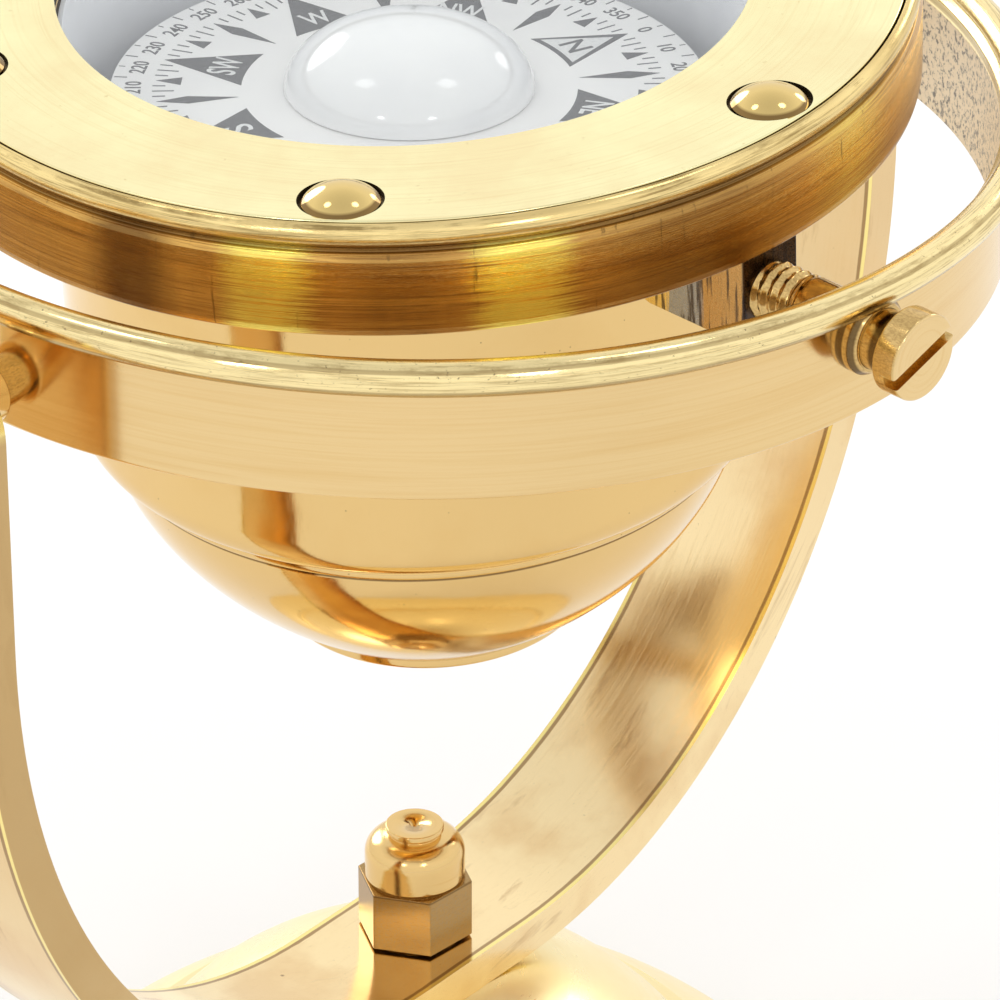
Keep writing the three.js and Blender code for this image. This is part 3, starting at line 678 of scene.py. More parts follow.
def print_ink(name, tint, patchy):
    return matt(name, tint, patchy, 1.7, 4.0, 0.55, (0.45, 0.75), (0.45, 0.65), 0.004)


def rubber(name):
    dark, pale = (0.014, 0.014, 0.015), (0.045, 0.044, 0.042)
    return matt(name, dark, pale, 3.0, 5.0, 0.7, (0.4, 0.7), (0.55, 0.85), 0.03)


def felt(name):
    s = Surface(name)
    fibre = s.noise(1.6, 8.0, 0.8, 1.5)
    colour = s.over((0.010, 0.045, 0.022), (0.045, 0.135, 0.07), fibre, 0.35, 0.7)
    colour = s.over(colour, (0.02, 0.06, 0.03), s.noise(0.25, 4.0), 0.5, 0.8, 0.4)
    return s.principled(Base_Color=colour, Roughness=0.95, Sheen_Weight=0.6, Sheen_Roughness=0.5,
                        Normal=s.bumps((fibre, 0.25)))


def clear_glass(name):
    """A thin pane: clear where it is faced, mirror-like at a glance, with faint smears."""
    s = Surface(name)
    smear = s.drawn((0.10, 0.02, 0.1), 4.0)
    clear = s.add("BsdfTransparent", {"Color": (0.985, 0.992, 0.99, 1.0)})
    rough = s.remap(smear, 0.4, 0.8, 0.01, 0.10)
    gloss = s.add("BsdfGlossy", {"Color": (1.0, 1.0, 1.0, 1.0), "Roughness": rough})
    facing = s.add("LayerWeight", {"Blend": 0.5}).outputs["Facing"]
    glance = s.remap(s.math("POWER", facing, 5.0), 0.0, 1.0, 0.03, 0.9)
    mixed = s.add("MixShader", {0: glance, 1: clear.outputs[0], 2: gloss.outputs[0]})
    s.feed(s.output.inputs["Surface"], mixed.outputs[0])
    return s.material


BOWL_SEAMS = ((SHOULDER_LOW, 0.4), (CUP_TOP - 0.2, 0.35), (CUP_LOW[1], 0.3))
# painted shade: a dark ring round each rivet's foot, down in its seat
RIVET_FOOT_SHADE = ((BEZEL_TOP - 0.4, 0.6),)
# painted shade on the pivot screws: at the bush's end, in the gap under the head, and at the ring's wall
PIVOT_NECK_SHADE = ((BUSH_END - 0.7, 0.5), (PIVOT_HEAD_START - 1, 1.2), (RING_INNER_R + RING_WALL, 0.5))

MATERIALS = {
    "bowl": polished_brass("bowl_brass", 0.2, 0.015, BOWL_SEAMS),
    "base": turned_brass("base_brass", (0.97, 0.82, 0.46), BRASS, 0.9, 0.004, 0.27, 0.12),
    "rivet": polished_brass("rivet_brass", 0.4, 0.01, RIVET_FOOT_SHADE, (0.80, 0.59, 0.23)),
    "yoke": strip_brass("yoke_brass"),
    "ring": ring_brass("ring_brass"),
    "flange": turned_brass("flange_brass", PALE_BRASS, BRASS, 2.2, 0.003, 0.13, 0.2),
    "face": face_brass("face_brass"),
    "band": banded_brass("band_brass"),
    "pivot": screw_brass("pivot_screw_brass", PIVOT_HEAD_START + PIVOT_HEAD_LENGTH, PIVOT_NECK_SHADE),
    "hinge": screw_brass("hinge_screw_brass", YOKE_HALF + YOKE_THICK + YOKE_SCREW_HEAD),
    "nut": nut_brass("nut_brass"),
    "block": streaked_brass("block_brass"),
    "steel": plain_metal("zinc_steel", (0.52, 0.53, 0.55), (0.36, 0.37, 0.39), 0.35, 0.03),
    "iron": plain_metal("cast_iron", (0.09, 0.085, 0.08), (0.04, 0.036, 0.033), 0.6, 0.12),
    "liner": enamel("liner_enamel", (0.93, 0.94, 0.97), (0.86, 0.87, 0.91), 0.4),
    "card": enamel("card_enamel", (0.95, 0.94, 0.93), (0.90, 0.89, 0.89), 0.5),
    "dome": enamel("float_enamel", (0.96, 0.96, 0.96), (0.92, 0.92, 0.93), 0.12, 0.6, 0.02),
    "ink": print_ink("grey_ink", (0.12, 0.12, 0.13), (0.19, 0.19, 0.20)),
    "white_ink": print_ink("white_ink", (0.82, 0.82, 0.82), (0.72, 0.72, 0.73)),
    "rubber": rubber("black_rubber"),
    "felt": felt("green_felt"),
    "glass": clear_glass("pane_glass"),
}

# ---------- base and yoke ----------


def base_outline(inset, steps):
    """Outer line of the base from its rim up to the flat under the yoke."""
    skirt = bezier((BASE_R - inset, BASE_RIM - inset / 2), (BASE_BELLY[0] - inset, BASE_BELLY[1] - inset),
                   (BASE_DOME_EDGE + 2 - inset / 2, BASE_SKIRT_TOP - inset), steps)
    radius = BASE_DOME_R - inset
    centre = BASE_TOP - inset - math.sqrt(radius ** 2 - DOME_TOP_R ** 2)
    start = math.degrees(math.acos((BASE_DOME_EDGE - inset) / radius))
    end = math.degrees(math.acos(DOME_TOP_R / radius))
    return skirt, arc(0, centre, radius, radius, start, end, steps)


def base_mesh():
    skirt, dome = base_outline(0, 24)
    inner_skirt, inner_dome = base_outline(BASE_WALL, 12)
    return lathe([
        (BASE_R - 0.1, BASE_CLEAR, 0.4), (BASE_R, BASE_RIM - 0.6, 0.5), *skirt[1:-1], (*skirt[-1], 0.5),
        (*dome[0], 0.3), *dome[1:-1], (DOME_TOP_R, BASE_TOP, 0.5), (STUD_R + GAP, BASE_TOP),
        (STUD_R + GAP, BASE_TOP - BASE_WALL), *reversed(inner_dome), *reversed(inner_skirt),
        (BASE_R - BASE_WALL, BASE_CLEAR)], 256)


def hexagon_mesh(flats, low, high):
    corner = flats / math.sqrt(3)
    angles = [math.radians(30 + 60 * k) for k in range(6)]
    vertices = [(corner * math.cos(a), corner * math.sin(a), z) for z in (low, high) for a in angles]
    sides = [(k, (k + 1) % 6, 6 + (k + 1) % 6, 6 + k) for k in range(6)]
    return mesh_from(vertices, [tuple(range(6)), tuple(range(6, 12)), *sides])


def nut_mesh():
    """A crown nut: a crisp hexagon on a thin shadow gap, a turned dome and a small flat button."""
    low = YOKE_FLOOR
    hex_top = low + NUT_HEX
    straight = hex_top + 3.6
    wide = NUT_FLATS / 2 - 0.12
    shoulder = 2.9
    button = low + NUT_HEIGHT
    dome = lathe([
        (0, low), (wide - 0.5, low), (wide - 0.5, hex_top - 1), (wide - 0.28, hex_top + 0.12, 0.08),
        (wide, hex_top + 0.4, 0.3), (wide, straight - 1.2),
        *arc(wide - shoulder, straight, shoulder, shoulder * 0.95, 0, 78, 16),
        (NUT_DISC_R - 0.55, button - 1.25, 0.2), (NUT_DISC_R - 0.3, button - 0.95, 0.15),
        (NUT_DISC_R, button - 0.7, 0.2), (NUT_DISC_R, button, 0.2), (0.75, button - 0.02),
        (0.5, button - 0.5), (0, button - 0.7)], 192)
    hexagon = modified(hexagon_mesh(NUT_FLATS, low + 0.35, hex_top), bevel=0.16, angle=25, weighted=False)
    return modified(dome, unions=[(hexagon, Matrix.Identity(4))])


def yoke_line(offset, steps):
    """Half of the yoke's U from the middle of the floor up to the top of the bend."""
    across = YOKE_HALF - YOKE_FLAT + offset
    down = YOKE_BEND_TOP - YOKE_FLOOR + offset
    points = [(YOKE_FLAT * k / 3, YOKE_FLOOR - offset) for k in range(3)]
    for k in range(steps + 1):
        angle = math.pi / 2 * (1 - k / steps)
        x = math.cos(angle) ** (2 / YOKE_POWER) if k else 0.0
        z = math.sin(angle) ** (2 / YOKE_POWER) if k < steps else 0.0
        points.append((YOKE_FLAT + across * x, YOKE_BEND_TOP - down * z))
    return points


def yoke_face(offset):
    """Half of one face of the strip: (x, z, half width) from the middle of the floor up to the arm's tip."""
    x = YOKE_HALF + offset
    pivot_z = HINGE.z / MM
    half = YOKE_WIDTH / 2
    rows = [(*point, half) for point in yoke_line(offset, 56)]
    rows += [(x, YOKE_BEND_TOP + (pivot_z - YOKE_BEND_TOP) * k / 8, half) for k in range(1, 8)]
    for k in range(16):
        angle = math.pi / 2 * k / 16
        rows.append((x, pivot_z + half * math.sin(angle), half * math.cos(angle)))
    return rows, (x, 0, pivot_z + half)


def yoke_mesh():
    """A strip bent to a U, with round ends about the hinge axis and broken edges."""
    across = 8
    vertices, faces = [], []
    for sign in (1, -1):
        grids, tips = [], []
        for offset in (0, YOKE_THICK):
            rows, (tip_x, tip_y, tip_z) = yoke_face(offset)
            grid = []
            for x, z, half in rows:
                grid.append(range(len(vertices), len(vertices) + across + 1))
                vertices += [(sign * x, half * (2 * j / across - 1), z) for j in range(across + 1)]
            grids.append(grid)
            tips.append(len(vertices))
            vertices.append((sign * tip_x, tip_y, tip_z))
        inner, outer = grids
        sides = []
        for a, b, c, d in zip(inner, inner[1:], outer, outer[1:]):
            for j in range(across):
                sides += [(a[j], b[j], b[j + 1], a[j + 1]), (c[j], c[j + 1], d[j + 1], d[j])]
            sides += [(a[0], c[0], d[0], b[0]), (a[-1], b[-1], d[-1], c[-1])]
        a, c = inner[-1], outer[-1]
        for j in range(across):
            sides += [(a[j], tips[0], a[j + 1]), (c[j], c[j + 1], tips[1])]
        sides += [(a[0], c[0], tips[1], tips[0]), (a[-1], tips[0], tips[1], c[-1])]
        faces += [corners[::sign] for corners in sides]
    return modified(mesh_from(vertices, faces), bevel=0.55, segments=4, angle=50)


def yoke_grain(point):
    """Distance along the strip, across it and through it, for a strip bent in the XZ plane."""
    x, y, z = point
    centre = YOKE_BEND_TOP
    if z > centre:
        return math.copysign(centre * 0.9 + z - centre, x), y, abs(x)
    return math.atan2(x, centre - z) * YOKE_HALF, y, math.hypot(x, centre - z)


def thread_shape(radius, angle, height):
    if height <= PIVOT_TIP + 1.1 or height >= THREAD_END:
        return radius
    phase = (height / THREAD_PITCH - angle / (2 * math.pi)) % 1.0
    fade = min(1.0, (THREAD_END - height) / THREAD_PITCH)
    return radius - THREAD_DEPTH * fade * abs(2 * phase - 1)


def screw_mesh(shank, start, seat, head, top, slot_turn, shape=None):
    """A cheese-head screw along +Z, with a slot across its head and a thread where a shape is given."""
    levels = [(shank, z) for z in np.arange(start + 1.2, THREAD_END + 1, 0.12)] if shape else []
    outline = [(0, start), (shank - 0.9, start, 0.2), (shank, start + 1), *levels, (shank, seat),
               (head, seat, 0.35), (head, top, 0.45), (0, top)]
    slot = block(2 * head + 2, SLOT_WIDTH, 2 * SLOT_DEPTH)
    turn = Matrix.Rotation(math.radians(slot_turn), 4, "Z")
    turn.translation = Vector((0, 0, top * MM))
    return modified(lathe(outline, 96, shape), [(slot, turn)], bevel=0.12, segments=2, angle=55)


def build_base():
    pad = washer(0, FELT_R, 0, FELT_THICK, (0, 0.5, 0.4, 0), 128)
    piece("base_pad", pad, "base", "felt", "felt", "base_felt")
    piece("base", base_mesh(), "base", "polished_brass", "base", "base_shell")
    turn = Matrix.Rotation(math.radians(NUT_TURN), 4, "Z")
    piece("crown_nut", nut_mesh(), "base", "brushed_brass", "nut", "acorn_nut", place=turn)
    piece("yoke_strip", yoke_mesh(), "base", "polished_brass", "yoke", "yoke",
          grain=yoke_grain, finish=False)
    arm = YOKE_HALF + YOKE_THICK
    for side, sign in (("right", 1), ("left", -1)):
        place = along(AT_HINGE, HINGE, RING_AXIS * sign)
        screw = screw_mesh(YOKE_SCREW_R, RING_INNER_R - 1, arm, YOKE_SCREW_HEAD_R, arm + YOKE_SCREW_HEAD, 90)
        piece(f"hinge_screw_{side}", screw, "base", "brushed_brass", "hinge", f"yoke_screw_{side}",
              place=place, finish=False)
        collar = washer(YOKE_SCREW_R + 0.05, COLLAR_R, COLLAR_START, YOKE_HALF, (0, 0.4, 0.3, 0), 96)
        piece(f"hinge_collar_{side}", collar, "base", "brushed_brass", "flange", f"yoke_collar_{side}",
              place=place)


# ---------- gimbal ring ----------


def ring_mesh():
    outer = RING_INNER_R + RING_WALL
    bead = arc(RING_BEAD_CENTRE, RING_BEAD_Z, RING_BEAD_R, RING_BEAD_R, -116, 176, 40)
    return lathe([(RING_INNER_R, RING_BOTTOM, 0.35), (outer, RING_BOTTOM, 0.45),
                  (outer, RING_BEAD_Z - 2.4, 0.3), *bead, (RING_INNER_R, RING_BEAD_Z - 0.7, 0.4)], 320)


def build_ring():
    piece("gimbal", ring_mesh(), "ring", "brushed_brass", "ring", "gimbal_ring")
    for side, sign in (("front", 1), ("back", -1)):
        bush = lathe([(PIVOT_SHANK_R + 0.05, RING_INNER_R - 1), (BUSH_R, RING_INNER_R - 1, 0.3),
                      (BUSH_R, BUSH_END - 0.9, 0.3), (BUSH_R - 0.7, BUSH_END, 0.3),
                      (PIVOT_SHANK_R + 0.05, BUSH_END)], 96)
        piece(f"pivot_bush_{side}", bush, "ring", "brushed_brass", "pivot", f"ring_bush_{side}",
              place=along(AT_RING, SCREWS, BOWL_AXIS * sign))


# ---------- bowl ----------


def body_mesh():
    inner = BOWL_R - BOWL_WALL
    roll = BOWL_R - SHOULDER_R
    curve = arc(SHOULDER_R, SHOULDER_Z, roll, SHOULDER_Z - SHOULDER_LOW, -90, 0, 16)
    return lathe([(CUP_R - 5, SHOULDER_LOW), *curve, (BOWL_R, FLANGE_TOP, 0.2), (inner, FLANGE_TOP, 0.2),
                  (inner, SHOULDER_Z, 1), (CUP_R - 5, SHOULDER_LOW + BOWL_WALL)], 320)


def cup_mesh():
    def line(inset, steps):
        low = (CUP_LOW[0] - inset / 2, CUP_LOW[1] + inset)
        waist = (CUP_WAIST[0] - inset, CUP_WAIST[1] + inset)
        return bezier(low, waist, (CUP_R - inset, CUP_TOP - 0.6), steps)

    top = SHOULDER_LOW - 0.05
    outer = line(0, 40)
    bead = arc(CUP_R - 0.1, CUP_TOP + 0.6, 0.7, 0.75, -80, 80, 10)
    return lathe([(CAP_R - 4, CUP_LOW[1]), (*outer[0], 0.4), *outer[1:-1], (*outer[-1], 0.15), *bead,
                  (CUP_R - 0.3, top, 0.1), (CUP_R - CUP_WALL, top), *reversed(line(CUP_WALL, 12)),
                  (CAP_R - 4, CUP_LOW[1] + CUP_WALL)], 320)


def cap_mesh():
    top = CUP_LOW[1] - 0.15
    spigot = CAP_R - 4 - GAP
    return lathe([(0, CAP_BOTTOM + 0.3), (CAP_R - 4, CAP_BOTTOM + 0.3, 0.5), (CAP_R - 3, CAP_BOTTOM, 0.5),
                  (CAP_R, CAP_BOTTOM, 0.5), (CAP_R, top, 0.35), (spigot, top), (spigot, top + 2),
                  (0, top + 2)], 256)


def liner_mesh():
    """A white tub with a fine step inside, a little below its rim."""
    wall = LINER_R - LINER_WALL
    floor = LINER_FLOOR + LINER_WALL
    return lathe([(0, LINER_FLOOR), (LINER_R, LINER_FLOOR, 1.5), (LINER_R, FLANGE_TOP - 0.4),
                  (wall, FLANGE_TOP - 0.4, 0.2), (wall, LINER_STEP_Z, 0.1),
                  (wall + 0.3, LINER_STEP_Z - 0.4, 0.1), (wall, floor, 1.2), (0, floor)], 256)


def rivet_place(degrees):
    angle = math.radians(degrees)
    return Matrix.Translation(Vector((RIVET_R * math.cos(angle), RIVET_R * math.sin(angle), 0)) * MM)


def plate_mesh():
    """The bezel's flat face, with a shallow seat sunk for each rivet."""
    plate = lathe([(OPENING_R, BEZEL_TOP - LIP, 0.12), (GLASS_R + 0.4, BEZEL_TOP - LIP),
                   (GLASS_R + 0.4, PLATE_BOTTOM), (FACE_R, PLATE_BOTTOM), (FACE_R - 0.1, BEZEL_TOP, 0.3),
                   (OPENING_R, BEZEL_TOP - FACE_FALL, 0.15)], 320)
    seats = []
    for degrees in RIVET_ANGLES:
        seat = washer(0, RIVET_HEAD_R + RECESS_GAP, BEZEL_TOP - RECESS_DEPTH, BEZEL_TOP + 2,
                      (0, 0, 0, 0), 96)
        seats.append((seat, rivet_place(degrees)))
    plate.set_sharp_from_angle(angle=SHARP_ANGLE)
    return modified(plate, seats, bevel=0.1, segments=2, angle=60)


def band_mesh():
    """The bezel's hanging band: a bead along its top, a groove under it and faint steps lower down."""
    inner = FACE_R + 0.15
    bead_z = BEZEL_TOP - BEAD_R
    low = bead_z - BEAD_R
    return lathe([
        (inner, BEZEL_BOTTOM), (BEZEL_R - 0.15, BEZEL_BOTTOM, 0.3), (BEZEL_R, BEZEL_BOTTOM + 0.9, 0.5),
        (BEZEL_R, low - 1.5, 0.5), (BEZEL_R - 0.3, low - 0.85, 0.3), (BEZEL_R - 0.3, low - 0.6, 0.2),
        (BEZEL_R - 0.75, low - 0.45, 0.15), (BEZEL_R - 0.75, low, 0.15),
        *arc(BEZEL_R - BEAD_R, bead_z, BEAD_R, BEAD_R, -34, 80, 18),
        (inner, bead_z + BEAD_R - 0.15, 0.15)], 320)


def rivet_mesh():
    """A domed head: the part of a circle above 40 degrees, stretched to size."""
    seat = BEZEL_TOP - RECESS_DEPTH
    edge = BEZEL_TOP - 0.45
    wide, base = math.cos(math.radians(40)), math.sin(math.radians(40))
    cap = [(RIVET_HEAD_R * x / wide, edge + RIVET_RISE * (y - base) / (1 - base))
           for x, y in arc(0, 0, 1, 1, 40, 90, 20)[:-1]]
    return lathe([(0, seat), (RIVET_HEAD_R - 0.3, seat, 0.15), (RIVET_HEAD_R, seat + 0.25, 0.15), *cap,
                  (0, edge + RIVET_RISE)], 96)


def block_mesh():
    inner = BOWL_R - 0.6
    box = block(BLOCK_HEIGHT, BLOCK_WIDTH, BLOCK_OUTER - inner, (BLOCK_OUTER + inner) / 2)
    return modified(box, bevel=0.35)


def build_bowl():
    piece("bowl_side", body_mesh(), "bowl", "polished_brass", "bowl", "bowl_body")
    flange = washer(BOWL_R - 0.1, FLANGE_R, FLANGE_TOP - FLANGE_THICK, FLANGE_TOP, (0.2, 0.5, 0.3, 0.1), 256)
    piece("rim_flange", flange, "bowl", "brushed_brass", "flange", "bowl_flange")
    piece("lower_cup", cup_mesh(), "bowl", "polished_brass", "bowl", "bowl_cup")
    piece("drain_cap", cap_mesh(), "bowl", "polished_brass", "bowl", "bowl_cap")
    piece("white_liner", liner_mesh(), "bowl", "white_paint", "liner", "bowl_liner")
    low = FLANGE_TOP + GAP
    seal = washer(GASKET_INNER_R, GLASS_R, low, low + GASKET_THICK, (0.15, 0.15, 0.15, 0.15), 192)
    piece("glass_seal", seal, "bowl", "rubber", "rubber", "gasket")
    low += GASKET_THICK + 0.1
    pane = washer(0, GLASS_R, low, low + GLASS_THICK, (0, 0.3, 0.3, 0), 192)
    piece("dial_glass", pane, "bowl", "glass", "glass", "glass")
    piece("bezel_face", plate_mesh(), "bowl", "brushed_brass", "face", "bezel_plate", finish=False)
    piece("bezel_skirt", band_mesh(), "bowl", "dark_brass", "band", "bezel_band")
    for number, degrees in enumerate(RIVET_ANGLES, 1):
        piece(f"bezel_rivet_{number}", rivet_mesh(), "bowl", "polished_brass", "rivet",
              f"bezel_screw_{number}", place=AT_BOWL @ rivet_place(degrees))
    end = PIVOT_HEAD_START + PIVOT_HEAD_LENGTH
    for side, sign in (("front", 1), ("back", -1)):
        place = along(AT_BOWL, SCREWS, BOWL_AXIS * sign)
        screw = screw_mesh(PIVOT_SHANK_R, PIVOT_TIP, PIVOT_HEAD_START, PIVOT_HEAD_R, end, PIVOT_SLOT_TURN,
                           thread_shape)
        piece(f"swing_screw_{side}", screw, "bowl", "brushed_brass", "pivot", f"pivot_screw_{side}",
              place=place, finish=False)
        piece(f"swing_block_{side}", block_mesh(), "bowl", "dark_brass", "block", f"pivot_block_{side}",
              place=place @ Matrix.Rotation(math.pi / 2, 4, "Z"), finish=False)


# ---------- card ----------

NUMERAL_R, NUMERAL_HEIGHT, NUMERAL_SQUEEZE = 34.2, 1.95, 0.86
TICK_OUT, TICK_SHORT, TICK_LONG = 36.9, 36.1, 35.3
POINT_OUT, HALF_POINT_IN, QUARTER_POINT_IN = 31.9, 29.2, 30.3
STAR_TIP, STAR_BASE, STAR_SPREAD = 31.8, 20.9, 13.3
LOZENGE_OUT, LOZENGE_WAIST, LOZENGE_IN, LOZENGE_HALF = 31.5, 27.6, 21.3, 1.05
WEDGE_OUT, WEDGE_IN, WEDGE_HALF = 31.6, 28.4, 1.1
INK_THICK = 0.03
CAP_HEIGHT = 0.69       # of the font's capitals, for a size of 1


def polar(radius, bearing, sideways=0.0):
    """A point on the card: bearings run clockwise from north, which is the card's +X."""
    angle = -math.radians(bearing)
    return (radius * math.cos(angle) + sideways * math.sin(angle),
            radius * math.sin(angle) - sideways * math.cos(angle))


class Print:
    """Flat ink on the card, gathered into one mesh: each mark is a thin slab between two heights."""

    def __init__(self, low):
        self.bm = bmesh.new()
        self.low, self.high = low, low + INK_THICK

    def prism(self, outline):
        """A slab with the outline [(x, y), ...], anticlockwise."""
        bottom, top = [[self.bm.verts.new(Vector((x, y, z)) * MM) for x, y in outline]
                       for z in (self.low, self.high)]
        self.bm.faces.new(top)
        self.bm.faces.new(reversed(bottom))
        for i in range(len(outline)):
            n = (i + 1) % len(outline)
            self.bm.faces.new((bottom[i], bottom[n], top[n], top[i]))

    def tick(self, bearing, inner, outer, width):
        half = width / 2
        self.prism([polar(inner, bearing, -half), polar(outer, bearing, -half), polar(outer, bearing, half),
                    polar(inner, bearing, half)])

    def star_point(self, bearing):
        base = [polar(STAR_BASE, bearing + STAR_SPREAD * (1 - 2 * k / 8)) for k in range(9)]
        self.prism([*base, polar(STAR_TIP, bearing)])

    def lozenge(self, bearing):
        self.prism([polar(LOZENGE_OUT, bearing), polar(LOZENGE_WAIST, bearing, -LOZENGE_HALF),
                    polar(LOZENGE_IN, bearing), polar(LOZENGE_WAIST, bearing, LOZENGE_HALF)])

    def wedge(self, bearing):
        self.prism([polar(WEDGE_OUT, bearing), polar(WEDGE_IN, bearing, -WEDGE_HALF),
                    polar(WEDGE_IN, bearing, WEDGE_HALF)])

    def lettering(self, text, radius, bearing, height, squeeze):
        """Letters whose tops point outwards."""
        curve = bpy.data.curves.new("letters", "FONT")
        curve.body = text
        curve.align_x, curve.align_y = "CENTER", "CENTER"
        curve.size = 1.0
        curve.resolution_u = 4
        curve.offset = 0.012
        curve.extrude = 0.5
        obj = temporary(curve)
        bpy.context.view_layer.update()
        mesh = bpy.data.meshes.new_from_object(obj.evaluated_get(bpy.context.evaluated_depsgraph_get()))
        bpy.data.objects.remove(obj)
        centre = Vector((*polar(radius, bearing), (self.low + self.high) / 2)) * MM
        scale = Matrix.Diagonal((height * squeeze / CAP_HEIGHT * MM, height / CAP_HEIGHT * MM,
                                 (self.high - self.low) * MM, 1))
        turn = Matrix.Rotation(-math.radians(bearing) - math.pi / 2, 4, "Z")
        mesh.transform(Matrix.Translation(centre) @ turn @ scale)
        self.bm.from_mesh(mesh)
        bpy.data.meshes.remove(mesh)

    def place(self, name, material):
        mesh = bpy.data.meshes.new("mesh")
        bmesh.ops.recalc_face_normals(self.bm, faces=self.bm.faces)
        self.bm.to_mesh(mesh)
        self.bm.free()
        piece(name, mesh, "card", "card", material, finish=False)


def print_scale(low):
    """The degree scale, the thirty-two points with their halves and quarters, and the star."""
    ink = Print(low)
    for degrees in range(0, 360, 10):
        ink.lettering(str(degrees), NUMERAL_R, degrees, NUMERAL_HEIGHT, NUMERAL_SQUEEZE)
        ink.tick(degrees, TICK_SHORT, TICK_OUT, 0.16)
        ink.tick(degrees + 5, TICK_LONG, TICK_OUT, 0.2)
    for quarter in range(128):
        bearing = quarter * 360 / 128
        if quarter % 16 == 0:
            continue
        if quarter % 8 == 0:
            ink.lozenge(bearing)
        elif quarter % 4 == 0:
            ink.wedge(bearing)
        else:
            ink.tick(bearing, HALF_POINT_IN if quarter % 2 == 0 else QUARTER_POINT_IN, POINT_OUT, 0.24)
    for bearing in range(0, 360, 45):
        ink.star_point(bearing)
    ink.place("dial_print", "ink")


def print_letters(low):
    """White letters on the star, and a white field at north."""
    ink = Print(low)
    for bearing, text, squeeze in ((90, "E", 1.0), (180, "S", 1.0), (270, "W", 0.72)):
        ink.lettering(text, 23.8, bearing, 3.4, squeeze)
    for bearing, text in ((45, "NE"), (135, "SE"), (225, "SW"), (315, "NW")):
        ink.lettering(text, 23.7, bearing, 3.6, 0.62)
    inner_edge = [polar(STAR_BASE + 0.7, 10.4 * (2 * k / 6 - 1)) for k in range(7)]
    ink.prism([polar(STAR_TIP - 2.2, 0), *inner_edge])
    ink.place("dial_letters", "white_ink")


def build_card():
    half = CARD_THICK / 2
    card = washer(CARD_HOLE_R, CARD_R, -half, half, (0, 0.15, 0.15, 0), 256)
    piece("dial_card", card, "card", "card", "card", "card")
    level = half + 0.005
    print_scale(level)
    level += INK_THICK
    print_letters(level)
    level += INK_THICK
    north = Print(level)
    north.lettering("N", 23.9, 0, 3.4, 0.9)
    north.place("dial_north", "ink")
    low = half + 0.1
    outer = arc(0, low, DOME_R, DOME_RISE, 4, 90, 48)[:-1]
    inner = arc(0, low, DOME_R - DOME_WALL, DOME_RISE - DOME_WALL, 90, 0, 16)[1:]
    outline = [(0, low + DOME_RISE - DOME_WALL), *inner, (DOME_R, low, 0.15), *outer, (0, low + DOME_RISE)]
    piece("float_cap", lathe(outline, 192), "card", "float_white", "dome", "float_dome")


# ---------- carried-over pieces ----------

CARRIED = {
    "base_weight": "iron", "base_washer": "steel", "base_nut": "steel", "base_stud": "steel",
    "bowl_weight": "iron", "pivot_post": "flange", "lubber_line": "rubber",
    "card_hub": "flange", "card_magnet_1": "steel", "card_magnet_2": "steel",
}


def finish_carried():
    """Inner CAD pieces keep their shape and take a finish."""
    for name, material in CARRIED.items():
        dressed(NODES[name].data, material)


# ---------- studio ----------

FLOOR_HALF = 4.0
SKY = ((0.0, 1.0), (0.3, 1.04), (0.6, 1.06), (0.8, 0.9), (1.0, 0.75))       # height, brightness
SKY_STRENGTH = 0.99
RIGHT_AZIMUTH = 51.5        # the part's +X from the camera's right, in degrees anticlockwise
LIGHT_DISTANCE = 1.1

# name, azimuth from the camera's right and elevation in degrees, diameter in metres, radiance
LIGHTS = (
    ("back_left", 123, 20, 0.55, 4.0),
    ("back_right", 51, 23, 0.28, 3.0),
    ("top_left", 170, 65, 0.22, 2.6),
    ("top_right", 10, 69, 0.22, 2.6),
    ("front_left", 243, 32, 0.13, 9.0),
    ("front_right", 293, 32, 0.13, 9.0),
)

CAMERA_PLACE = (-0.5133, -0.4231, 0.4840)
CAMERA_FORWARD, CAMERA_RIGHT = (0.6841, 0.5447, -0.4850), (0.6237, -0.7816, 0.0019)
SENSOR_WIDTH, LENS = 36.0, 212.3


def build_floor():
    mesh = bpy.data.meshes.new("floor")
    corners = [(x * FLOOR_HALF, y * FLOOR_HALF, 0) for x, y in ((-1, -1), (1, -1), (1, 1), (-1, 1))]
    mesh.from_pydata(corners, [], [(0, 1, 2, 3)])
    s = Surface("floor_paper")
    tone = s.noise(3.0, vector=s.add("TexCoord").outputs["Object"])
    colour = s.blend(tone, (0.93, 0.93, 0.93), (0.95, 0.95, 0.95))
    s.principled(Base_Color=colour, Roughness=0.7, Specular_IOR_Level=0.2)
    mesh.materials.append(s.material)
    floor = bpy.data.objects.new("floor", mesh)
    bpy.context.scene.collection.objects.link(floor)


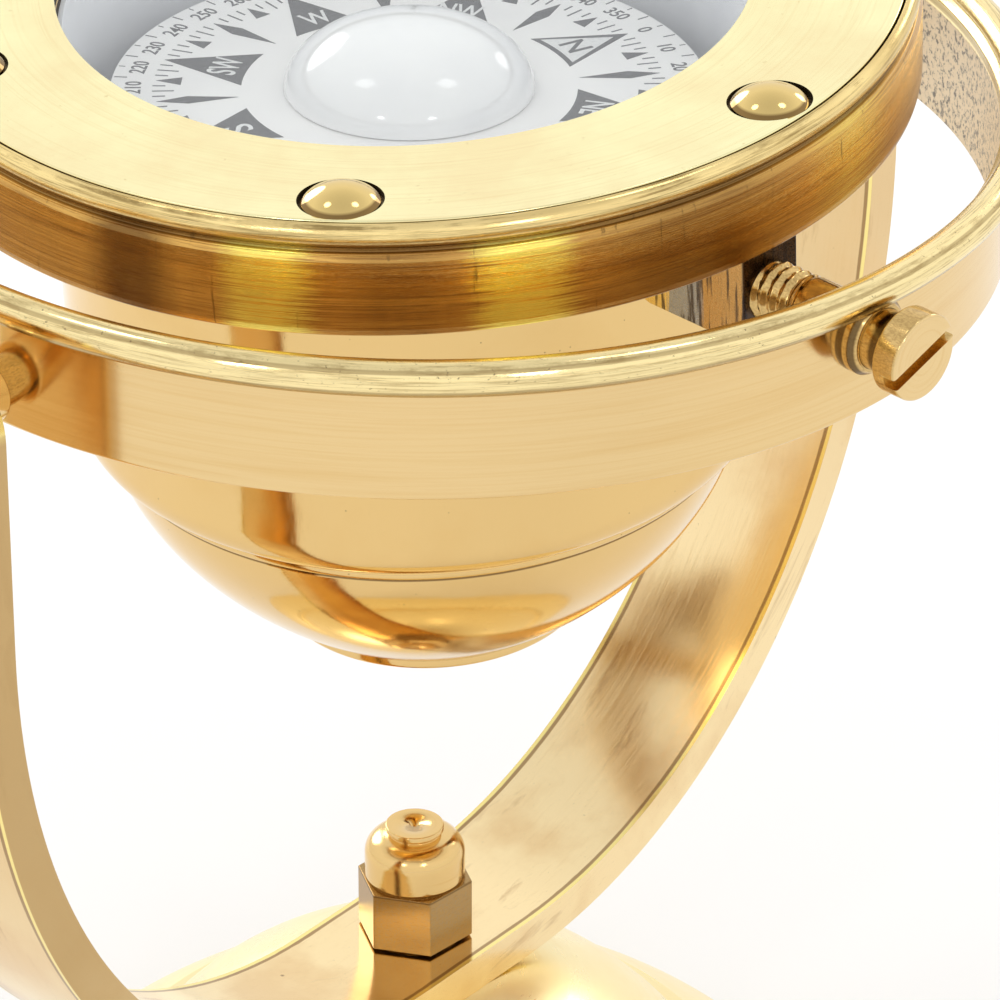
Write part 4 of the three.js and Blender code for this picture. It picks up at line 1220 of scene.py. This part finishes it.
def build_world():
    """Soft surroundings: bright near the horizon, dim overhead."""
    world = bpy.data.worlds.new("studio")
    bpy.context.scene.world = world
    world.use_nodes = True
    tree = world.node_tree
    tree.nodes.clear()
    direction = tree.nodes.new("ShaderNodeTexCoord").outputs["Generated"]
    xyz = tree.nodes.new("ShaderNodeSeparateXYZ")
    tree.links.new(direction, xyz.inputs[0])
    ramp = tree.nodes.new("ShaderNodeValToRGB")
    tree.links.new(xyz.outputs["Z"], ramp.inputs[0])
    for position, _ in SKY[1:-1]:
        ramp.color_ramp.elements.new(position)
    for element, (_, value) in zip(ramp.color_ramp.elements, SKY):
        element.color = (value, value, value, 1.0)
    background = tree.nodes.new("ShaderNodeBackground")
    background.inputs["Strength"].default_value = SKY_STRENGTH
    tree.links.new(ramp.outputs[0], background.inputs["Color"])
    output = tree.nodes.new("ShaderNodeOutputWorld")
    tree.links.new(background.outputs[0], output.inputs["Surface"])


def softbox(name, azimuth, elevation, size, radiance):
    """A round light aimed at the compass."""
    angle = math.radians(azimuth - RIGHT_AZIMUTH)
    rise = math.radians(elevation)
    away = Vector((math.cos(rise) * math.cos(angle), math.cos(rise) * math.sin(angle), math.sin(rise)))
    light = bpy.data.lights.new(name, "AREA")
    light.shape = "DISK"
    light.size = size
    light.energy = radiance * math.pi * math.pi * size * size / 4
    obj = bpy.data.objects.new(name, light)
    obj.location = HINGE + away * LIGHT_DISTANCE
    obj.rotation_mode = "QUATERNION"
    obj.rotation_quaternion = away.to_track_quat("Z", "Y")
    bpy.context.scene.collection.objects.link(obj)


def build_camera():
    camera = bpy.data.cameras.new("camera")
    camera.sensor_width = SENSOR_WIDTH
    camera.lens = LENS
    camera.clip_start, camera.clip_end = 0.05, 20.0
    obj = bpy.data.objects.new("camera", camera)
    bpy.context.scene.collection.objects.link(obj)
    forward = Vector(CAMERA_FORWARD).normalized()
    up = Vector(CAMERA_RIGHT).cross(forward).normalized()
    right = forward.cross(up)
    obj.matrix_world = frame_at(Vector(CAMERA_PLACE), right, up, -forward)
    bpy.context.scene.camera = obj
    bpy.context.scene.view_settings.view_transform = "Standard"


build_camera()
build_base()
build_ring()
build_bowl()
build_card()
finish_carried()
build_floor()
build_world()
for light in LIGHTS:
    softbox(*light)
